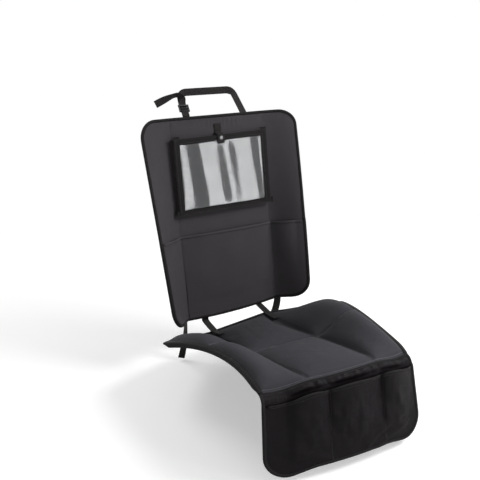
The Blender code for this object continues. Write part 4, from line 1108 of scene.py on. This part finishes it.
frameHalf, frameEnd = window["half"] + window["ear"], window["top"] + window["ear"]
frameAcross = frameLines(-frameHalf, frameHalf, -window["half"], -opening["side"], opening["side"], window["half"])
frameUp = frameLines(window["bottom"], frameEnd, opening["low"], opening["high"], window["top"])


def frameKeep(across, up):
    # the cloth of the frame: its two side bands up to the ears, its bottom and top bands, and the bottom's ends
    side = np.abs(across)
    sides = (side > opening["side"]) & (side < window["half"]) & (up < frameEnd)
    bands = (up < opening["low"]) | ((up > opening["high"]) & (up < window["top"]))
    ends = (side > window["half"]) & (up < opening["low"])
    return sides | (bands & (side < window["half"])) | ends


def frameFold(across, up):
    # the frame's bands are folded double: a low roll along each inner and outer fold
    side = np.abs(across)
    inside = np.maximum(side - opening["side"], np.maximum(opening["low"] - up, up - opening["high"]))
    roll = hill(inside, 0.0022, 0.0016) + hill(inside, 0.0140, 0.0018)
    return frameRoll["rise"] * roll + frameRoll["uneven"] * smoothNoise(across, up, 61, 0.03)


frameSheet = clothSheet("windowFrame", onWindow, frameAcross, frameUp, frameLow,
                        lambda u, v: frameHigh + np.maximum(frameFold(u, v), -frameRoll["uneven"]), tapeCloth,
                        keep=frameKeep)
dress(frameSheet, "black_polyester", "window_frame", flat=(0.291, 0.213), area=0.0215, held="stretched",
      rests=["windowGusset"])


def windowRow(us, vs):  # a stitch row on the frame's face
    return seamRow(onWindow, us, vs, frameHigh + frameFold(us, vs) + thread["lift"])


windowRows = []
for inset in frameRoll["seams"]:
    x, low, high = opening["side"] + inset, opening["low"] - inset, opening["high"] + inset
    windowRows += [windowRow(end, np.linspace(low, high, 50)) for end in (-x, x)]
    windowRows += [windowRow(np.linspace(-x, x, 70), end) for end in (low, high)]
dress(stitchPiece("windowStitches", windowRows, threadYarn), "binding_tape")
print("window pocket made")

# closure tab and press stud over the window pocket's mouth
tab = {"rise": 0.030, "drop": 0.024, "turn": 0.003}
stud = {"height": 0.0016, "socket": 0.0045, "cap": 0.0055}
studProfile = ((0.80, 0), (0.96, 0.1), (1, 0.35), (0.97, 0.68), (0.88, 0.9), (0.78, 1), (0.66, 0.86), (0.45, 0.9),
               (0.22, 0.97), (0.04, 1))
halfWeb = ribbon["thick"] / 2
socketLow = frameHigh + layer["gap"]
tabFront = socketLow + stud["height"] + layer["gap"] + halfWeb
tabBack = panel["thick"] + layer["gap"] + halfWeb
tabLift = window["top"] + window["ear"] / 2
tabPath = np.array([(window["top"] + tab["rise"], tabBack), (tabLift + 2 * tab["turn"], tabBack),
                    (tabLift + tab["turn"], tabBack + tab["turn"] / 3), (tabLift, (tabBack + tabFront) / 2),
                    (tabLift - tab["turn"] / 3, tabFront - tab["turn"] / 3), (tabLift - tab["turn"], tabFront),
                    (window["top"] - tab["drop"], tabFront)])
tabPoints = onWindow(0.0, tabPath[:, 0], tabPath[:, 1])
crosswise = np.array([1.0, 0, 0])


def alongside(way, points):  # the same way at each of the points
    return np.tile(way, (len(points), 1))


closureTab, tabLine, tabOut, tabBroad = webbingStrap("closureTab", tabPoints, alongside(crosswise, tabPoints),
                                                     ribbon["fine"], 4)
dress(closureTab, "black_webbing", "closure_tab")
studUp = window["top"] - window["topBand"] / 2
studFoot = onWindow(0.0, studUp, 0.0)
studAxis = onWindow(0.0, studUp, 1.0) - studFoot


def studPiece(name, radius, low):
    # a pressed steel disc with a rolled rim and a shallow dish: a profile of radius and height turned round the
    # stud's axis and closed on it at both ends
    axis = unit(studAxis)
    first = unit(np.cross(axis, (1.0, 0, 0)))
    second = np.cross(axis, first)
    angles = np.linspace(0, 2 * math.pi, 40, endpoint=False)[None, :, None]
    profile = np.array(studProfile) * (radius, stud["height"])
    wide, high = profile[:, 0, None, None], profile[:, 1, None, None]
    rings = studFoot + studAxis * low + (first * np.cos(angles) + second * np.sin(angles)) * wide + axis * high
    return sweep(name, rings, steel)


dress(studPiece("studSocket", stud["socket"], socketLow), "stud_steel", "stud_socket")
dress(studPiece("studCap", stud["cap"], tabFront + halfWeb + layer["gap"]), "stud_steel", "stud_cap")

# upper straps: two legs that join in a loop, a ladder lock and a loose end
strap = {"across": 0.0850, "lap": 0.040, "leg": (0.0500, 0.0430), "loop": 0.0800, "turn": 0.018}
lock = {"start": 0.020, "bar": 0.0040, "slot": 0.0050, "middle": 0.0035, "side": 0.0035, "thick": 0.0030}
tail = {"steps": 12, "reach": 0.075, "turn": 0.34, "bend": 0.50, "run": 0.026, "rise": 0.018, "fall": 0.030}
lapLift = liningLow - layer["gap"] - halfWeb
overTape = lapLift - layer["tape"] - layer["tapeGap"]
lean = math.radians(panel["recline"])
standing = np.array([0, math.sin(lean), math.cos(lean)])
lapEnds = ((1.0, lapLift), (2.4, lapLift), (1.5, overTape), (0.0, overTape))


def upperLap(side):
    # the sewn end on the lining, then the step over the edge tape
    downs = [strap["lap"]] + [share * layer["cover"] for share, _ in lapEnds[1:]]
    lifts = [lift for _, lift in lapEnds]
    return onPanel(side * strap["across"], panel["length"] - np.array(downs), lifts)


def legRise(side):  # from the panel's edge to where a leg turns
    return np.array([side * (strap["loop"] - strap["across"]), *strap["leg"]])


def legTurn(side):
    # a quarter turn from the leg to the run across the top
    angle = np.linspace(0, math.pi / 2, 9)[:, None]
    start, inwards, onwards = upperLap(side)[-1] + legRise(side), np.array([-side, 0, 0]), unit(legRise(side))
    return start + inwards * strap["turn"] * (1 - np.cos(angle)) + onwards * strap["turn"] * np.sin(angle)


def twisted(start, end, count):
    # a width direction that turns from one to another, eased over the given number of points
    share = ease(np.linspace(0, 1, count))[:, None]
    return np.asarray(start) * (1 - share) + np.asarray(end) * share


foldLift = halfWeb + layer["gap"] / 2
lockAim = unit(legRise(-1))
lockOut = unit(np.cross(crosswise, lockAim))
lockAcross = unit(np.cross(lockAim, lockOut))
lockFoot = upperLap(-1)[-1] + lockAim * lock["start"] + lockOut * foldLift
middleStart = lock["bar"] + lock["slot"]
middleEnd = middleStart + lock["middle"]
outerStart = middleEnd + lock["slot"]
outerEnd = outerStart + lock["bar"]
passLift = lock["thick"] / 2 + layer["gap"] + halfWeb
underLift = passLift + layer["gap"] + ribbon["thick"]
turnSide = layer["gap"] + halfWeb


def onLock(along, lift, across=0.0):
    # a place in the lock's own axes: along its pull, out of its face, and across it
    along, lift, across = (v[..., None] for v in spreadOut(along, lift, across))
    return lockFoot + lockAim * along + lockOut * lift + lockAcross * across


def lockStrap(name, line, broad, rounds, *nodes):
    # an upper strap from its path and width directions, dressed; its path and ways go back for the stitches
    piece, path, out, wide = webbingStrap(name, line, broad, ribbon["fine"], rounds)
    dress(piece, "black_webbing", *nodes)
    return path, out * np.where(out[5, 1] < 0, -1.0, 1.0), wide


through = onLock([outerEnd + 3 * lock["bar"], middleStart - turnSide, middleStart - turnSide, middleEnd + turnSide,
                  middleEnd + turnSide, outerEnd + lock["bar"]],
                 [-underLift, -underLift, passLift, passLift, -passLift, -passLift])
part = np.arange(1, tail["steps"] + 1) / tail["steps"]
looseEnd = onLock(outerEnd + lock["bar"] + tail["run"] * np.sin(math.pi / 2 * np.minimum(part / tail["bend"], 1)),
                  -passLift + tail["rise"] * ease(np.minimum(part / tail["turn"], 1)),
                  -tail["reach"] * ramp(part, tail["turn"] / 2, 1) ** 1.3)
looseEnd = looseEnd + np.array([0, 0, -1.0]) * (tail["fall"] * part * part)[:, None]
flatSteps = round(tail["steps"] * tail["turn"])
rightLine = np.concatenate([upperLap(1), legTurn(1), legTurn(-1)[::-1], through, looseEnd])
rightBroad = np.concatenate([np.tile(crosswise, (4, 1)), twisted(crosswise, standing, 9),
                             twisted(standing, -lockAcross, 9), alongside(-lockAcross, through),
                             twisted(-lockAcross, -lockOut, flatSteps),
                             twisted(-lockOut, -standing, tail["steps"] - flatSteps)])
upperRight = lockStrap("upperStrapRight", rightLine, rightBroad, 5, "upper_strap_right")
bar, innerEnd = lock["bar"], lock["bar"] + turnSide
foldLine = onLock([-2 * bar, -bar, 0, innerEnd, innerEnd, 0, -bar, -4 * bar],
                  [-foldLift, -foldLift, -passLift, -passLift, passLift, passLift, foldLift, foldLift])
leftLine = np.concatenate([upperLap(-1), foldLine])
leftBroad = np.concatenate([np.tile(crosswise, (4, 1)), alongside(lockAcross, foldLine)])
upperLeft = lockStrap("upperStrapLeft", leftLine, leftBroad, 3, "upper_strap_left")

lockInner = ribbon["wide"] / 2 + 2 * layer["gap"]
lockColumns = np.array([-lockInner - lock["side"], -lockInner, lockInner, lockInner + lock["side"]])
lockRows = np.array([0, lock["bar"], middleStart, middleEnd, outerStart, outerEnd])


def lockPiece():
    # the ladder lock's outline with its two slots, all its edges rounded
    u, v = np.meshgrid(lockColumns, lockRows, indexing="xy")
    mask = np.ones((5, 3), bool)
    mask[[1, 3], 1] = False
    half = lock["thick"] / 2
    piece = closedCloth("strapBuckle", onLock(v, -half, u), onLock(v, half, u), np.stack([u, v], -1), plastic, mask)
    edges = piece.modifiers.new("edges", "BEVEL")
    edges.width, edges.segments, edges.limit_method, edges.angle_limit = 0.0008, 3, "ANGLE", math.radians(40)
    graph = bpy.context.evaluated_depsgraph_get()
    made = bpy.data.meshes.new_from_object(piece.evaluated_get(graph))
    piece.modifiers.clear()
    piece.data = made
    return piece


dress(lockPiece(), "black_plastic", "strap_buckle")
print("upper straps made")

# lower straps: two link straps sewn on the pad and two anchor straps that hang behind it
lower = {"link": 0.0850, "rise": 0.003, "fall": 0.62, "lean": {"Left": -0.020, "Right": -0.060}, "forward": 0.010,
         "drop": 0.105, "lap": 0.035, "foot": (0.238, 0.192), "footSteps": 13}
sewnBox = {"half": 0.40, "ends": 8}


def padHeight(x, y):  # the finished pad's top under a place
    found = padTree.ray_cast(Vector((x, y, 1)), Vector((0, 0, -1)))[0]
    return found.z if found else 0.0


def footLine(across):
    # the strap's end rests on the pad: the highest point under each step of its width
    ys = np.linspace(*lower["foot"], lower["footSteps"])
    spots = [(s * ribbon["wide"] / 2, r) for s in (-0.95, -0.5, 0, 0.5, 0.95) for r in (-0.0015, 0.0015)]
    rest = [max(padHeight(across + x, y + r) for x, r in spots) for y in ys]
    return np.stack(spreadOut(across, ys, np.array(rest) + layer["gap"] + halfWeb), 1)


def bent(start, control, end, parts):
    # a square curve: start (1-t)^2 + control 2t(1-t) + end t^2
    t = np.linspace(0, 1, parts + 1)[:, None]
    return start * (1 - t) ** 2 + control * 2 * t * (1 - t) + end * t * t


def lowerLap(place):
    # the sewn end on the lining, then the step over the edge tape
    ups = np.array([lower["lap"], 2.4 * layer["cover"], 1.5 * layer["cover"], 0.0])
    return place(ups, np.array([lapLift, lapLift, overTape, overTape]))


def linkStrap(sideName, side):
    # from the panel's bottom edge down to the pad in a bend, and forward along it; sewn at both ends
    across = side * lower["link"]

    def place(up, lift):  # on the panel, in line with the strap
        return onPanel(across, up, lift)

    foot = footLine(across)
    start = place(-layer["cover"], overTape)
    control = np.array([across, start[1], foot[0, 2] + lower["rise"]])
    fallen, landed = start + (control - start) * lower["fall"], control + (foot[0] - control) * (1 - lower["fall"])
    hung = [bent(start, (start + fallen) / 2, fallen, 5)[:-1], bent(fallen, control, landed, 8)[:-1],
            bent(landed, (landed + foot[0]) / 2, foot[0], 5)[:-1]]
    line = np.concatenate([lowerLap(place), *hung, foot])
    ways = alongside(crosswise, line)
    piece, path, out, broad = webbingStrap("linkStrap" + sideName, line, ways, ribbon["coarse"], 3)
    dress(piece, "black_webbing", "link_strap_" + sideName.lower())
    out = out * np.where(out[-1, 2] < 0, -1.0, 1.0)
    return [(path, out, broad, len(path) - 17, len(path) - 3), (path, -out, broad, 2, 13)]


def anchorStrap(sideName, side):
    # hangs from the slanted part of the panel's bottom edge, just outside the valley
    inner, third = side * panel["valley"], (panel["half"] - panel["corner"] - panel["valley"]) / 3
    outer = side * (panel["valley"] + third)

    def hang(up, lift):  # midway between two places of the panel
        return (onPanel(inner, up, lift - layer["tapeGap"]) + onPanel(outer, up, lift - layer["tapeGap"])) / 2

    start = hang(-layer["cover"], overTape)
    end = start + np.array([lower["lean"][sideName], -lower["forward"], -lower["drop"]])
    fall = bent(start, start - np.array([0, 0, lower["drop"] / 2]), end, 14)
    wide = unit(onPanel(outer, 0.0, 0.0) - onPanel(inner, 0.0, 0.0)) * side
    line = np.concatenate([lowerLap(hang), fall])
    widths = np.concatenate([np.tile(wide, (4, 1)), twisted(wide, crosswise, len(fall))])
    piece, path, out, broad = webbingStrap("anchorStrap" + sideName, line, widths, ribbon["coarse"], 3)
    dress(piece, "black_webbing", "anchor_strap_" + sideName.lower())
    return [(path, out * np.where(out[2, 1] < 0, -1.0, 1.0), broad, 2, 13)]


def boxSeam(path, out, broad, first, last):
    # a sewn box with a cross in it, on the strap's outer face, from its first to its last step
    rows = []
    steps = np.arange(first, last + 1)
    lift = halfWeb + thread["lift"]
    for near, far in ((-1, -1), (1, 1), (-1, 1), (1, -1)):
        across = np.linspace(near, far, len(steps))[:, None] * ribbon["wide"] * sewnBox["half"]
        rows.append(stitchRow(path[steps] + broad[steps] * across + out[steps] * lift, out[steps]))
    for at in (first, last):
        across = np.linspace(-sewnBox["half"], sewnBox["half"], sewnBox["ends"])[:, None] * ribbon["wide"]
        rows.append(stitchRow(path[at] + broad[at] * across + out[at] * lift, alongside(out[at], across)))
    return rows


sewnStraps = []
for sideName, side in (("Left", -1), ("Right", 1)):
    sewnStraps += linkStrap(sideName, side) + anchorStrap(sideName, side)
tabFace = tabOut * np.where(tabOut[3] @ studAxis < 0, -1.0, 1.0)
sewnStraps += [(*upperRight, 3, 24), (*upperLeft, 3, 24), (tabLine, tabFace, tabBroad, 3, 15)]
strapRows = [row for sewn in sewnStraps for row in boxSeam(*sewn)]
dress(stitchPiece("strapStitches", strapRows, threadYarn), "binding_tape")
print("lower straps made")

# floor, backdrop and light
studio = {"floor": (0.80, 0.80, 0.80), "backdrop": 1.0, "ambient": 0.25, "glow": 0.42, "near": 0.5, "far": 1.7,
          "below": 0.004, "half": 6.0}
lamps = {"keyLamp": {"place": (1.7, -0.9, 1.8), "size": (1.0, 0.9), "power": 54, "target": (0.0, 0.0, 0.20)},
         "fillLamp": {"place": (-2.0, -2.2, 1.1), "size": (1.4, 1.4), "power": 4, "target": (0.0, 0.0, 0.20)},
         "rearLamp": {"place": (-0.6, 1.9, 2.0), "size": (1.3, 1.1), "power": 24, "target": (0.0, 0.0, 0.20)},
         "stripLamp": {"place": (0.95, -1.75, 0.50), "size": (0.30, 1.3), "power": 9, "target": (0.0, 0.36, 0.38)}}


def whiteLevel(node, maths):
    # the backdrop's strength to the camera, in reflections and through clear film, and the dimmer ambient otherwise
    path = node("ShaderNodeLightPath")
    seen = path.outputs["Is Camera Ray"]
    for name in ("Is Glossy Ray", "Is Transmission Ray"):
        seen = maths("MAXIMUM", seen, path.outputs[name])
    ends = {"To Min": studio["ambient"], "To Max": studio["backdrop"]}
    return node("ShaderNodeMapRange", {"Value": seen, **ends}).outputs[0]


def plainFloor():
    # a pale floor that keeps the object's shadow and turns into the backdrop further out
    low, half = cadLow[2] - studio["below"], studio["half"]
    mesh = bpy.data.meshes.new("floor")
    square = [(-half, -half, low), (half, -half, low), (half, half, low), (-half, half, low)]
    mesh.from_pydata(square, [], [(0, 1, 2, 3)])
    floor = bpy.data.objects.new("floor", mesh)
    scene.collection.objects.link(floor)
    made, shader, plug, node, maths = newFinish("paleFloor")
    glow = maths("MULTIPLY", node("ShaderNodeLightPath").outputs["Is Camera Ray"], studio["glow"])
    plug(shader, {"Base Color": (*studio["floor"], 1), "Roughness": 0.9, "Emission Color": (1, 1, 1, 1),
                  "Emission Strength": glow})
    place = node("ShaderNodeTexCoord").outputs["Object"]
    away = node("ShaderNodeVectorMath", {0: place}, operation="LENGTH")
    share = node("ShaderNodeMapRange", {"Value": away.outputs["Value"], "From Min": studio["near"],
                                        "From Max": studio["far"]}, interpolation_type="SMOOTHSTEP")
    white = node("ShaderNodeEmission", {"Strength": whiteLevel(node, maths)})
    mix = node("ShaderNodeMixShader", {0: share.outputs[0], 1: shader.outputs[0], 2: white.outputs[0]})
    plug(made.node_tree.nodes["Material Output"], {"Surface": mix.outputs[0]})
    mesh.materials.append(made)
    floor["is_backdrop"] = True


def backdrop():
    # a white world behind the object that gives it only the ambient light
    world = bpy.data.worlds.new("studio")
    scene.world = world
    world.use_nodes = True
    plug, node, maths = nodeTools(world.node_tree)
    plug(world.node_tree.nodes["Background"], {"Color": (1, 1, 1, 1), "Strength": whiteLevel(node, maths)})


def softLamp(name, place, size, power, target):
    # a rectangular lamp at a place, turned to its target
    lamp = bpy.data.lights.new(name, "AREA")
    lamp.shape = "RECTANGLE"
    lamp.size, lamp.size_y = size
    lamp.energy = power
    made = bpy.data.objects.new(name, lamp)
    made.location = place
    made.rotation_mode = "QUATERNION"
    made.rotation_quaternion = (Vector(place) - Vector(target)).to_track_quat("Z", "Y")
    scene.collection.objects.link(made)


plainFloor()
backdrop()
for name, lamp in lamps.items():
    softLamp(name, **lamp)
scene.view_settings.view_transform = "Standard"

low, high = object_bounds()
sizes = {"cad": [list(cadLow), list(cadHigh)], "visual": [list(low), list(high)]}
print("pieces:", len(pieces), "size:", [round(b - a, 4) for a, b in zip(low, high)])
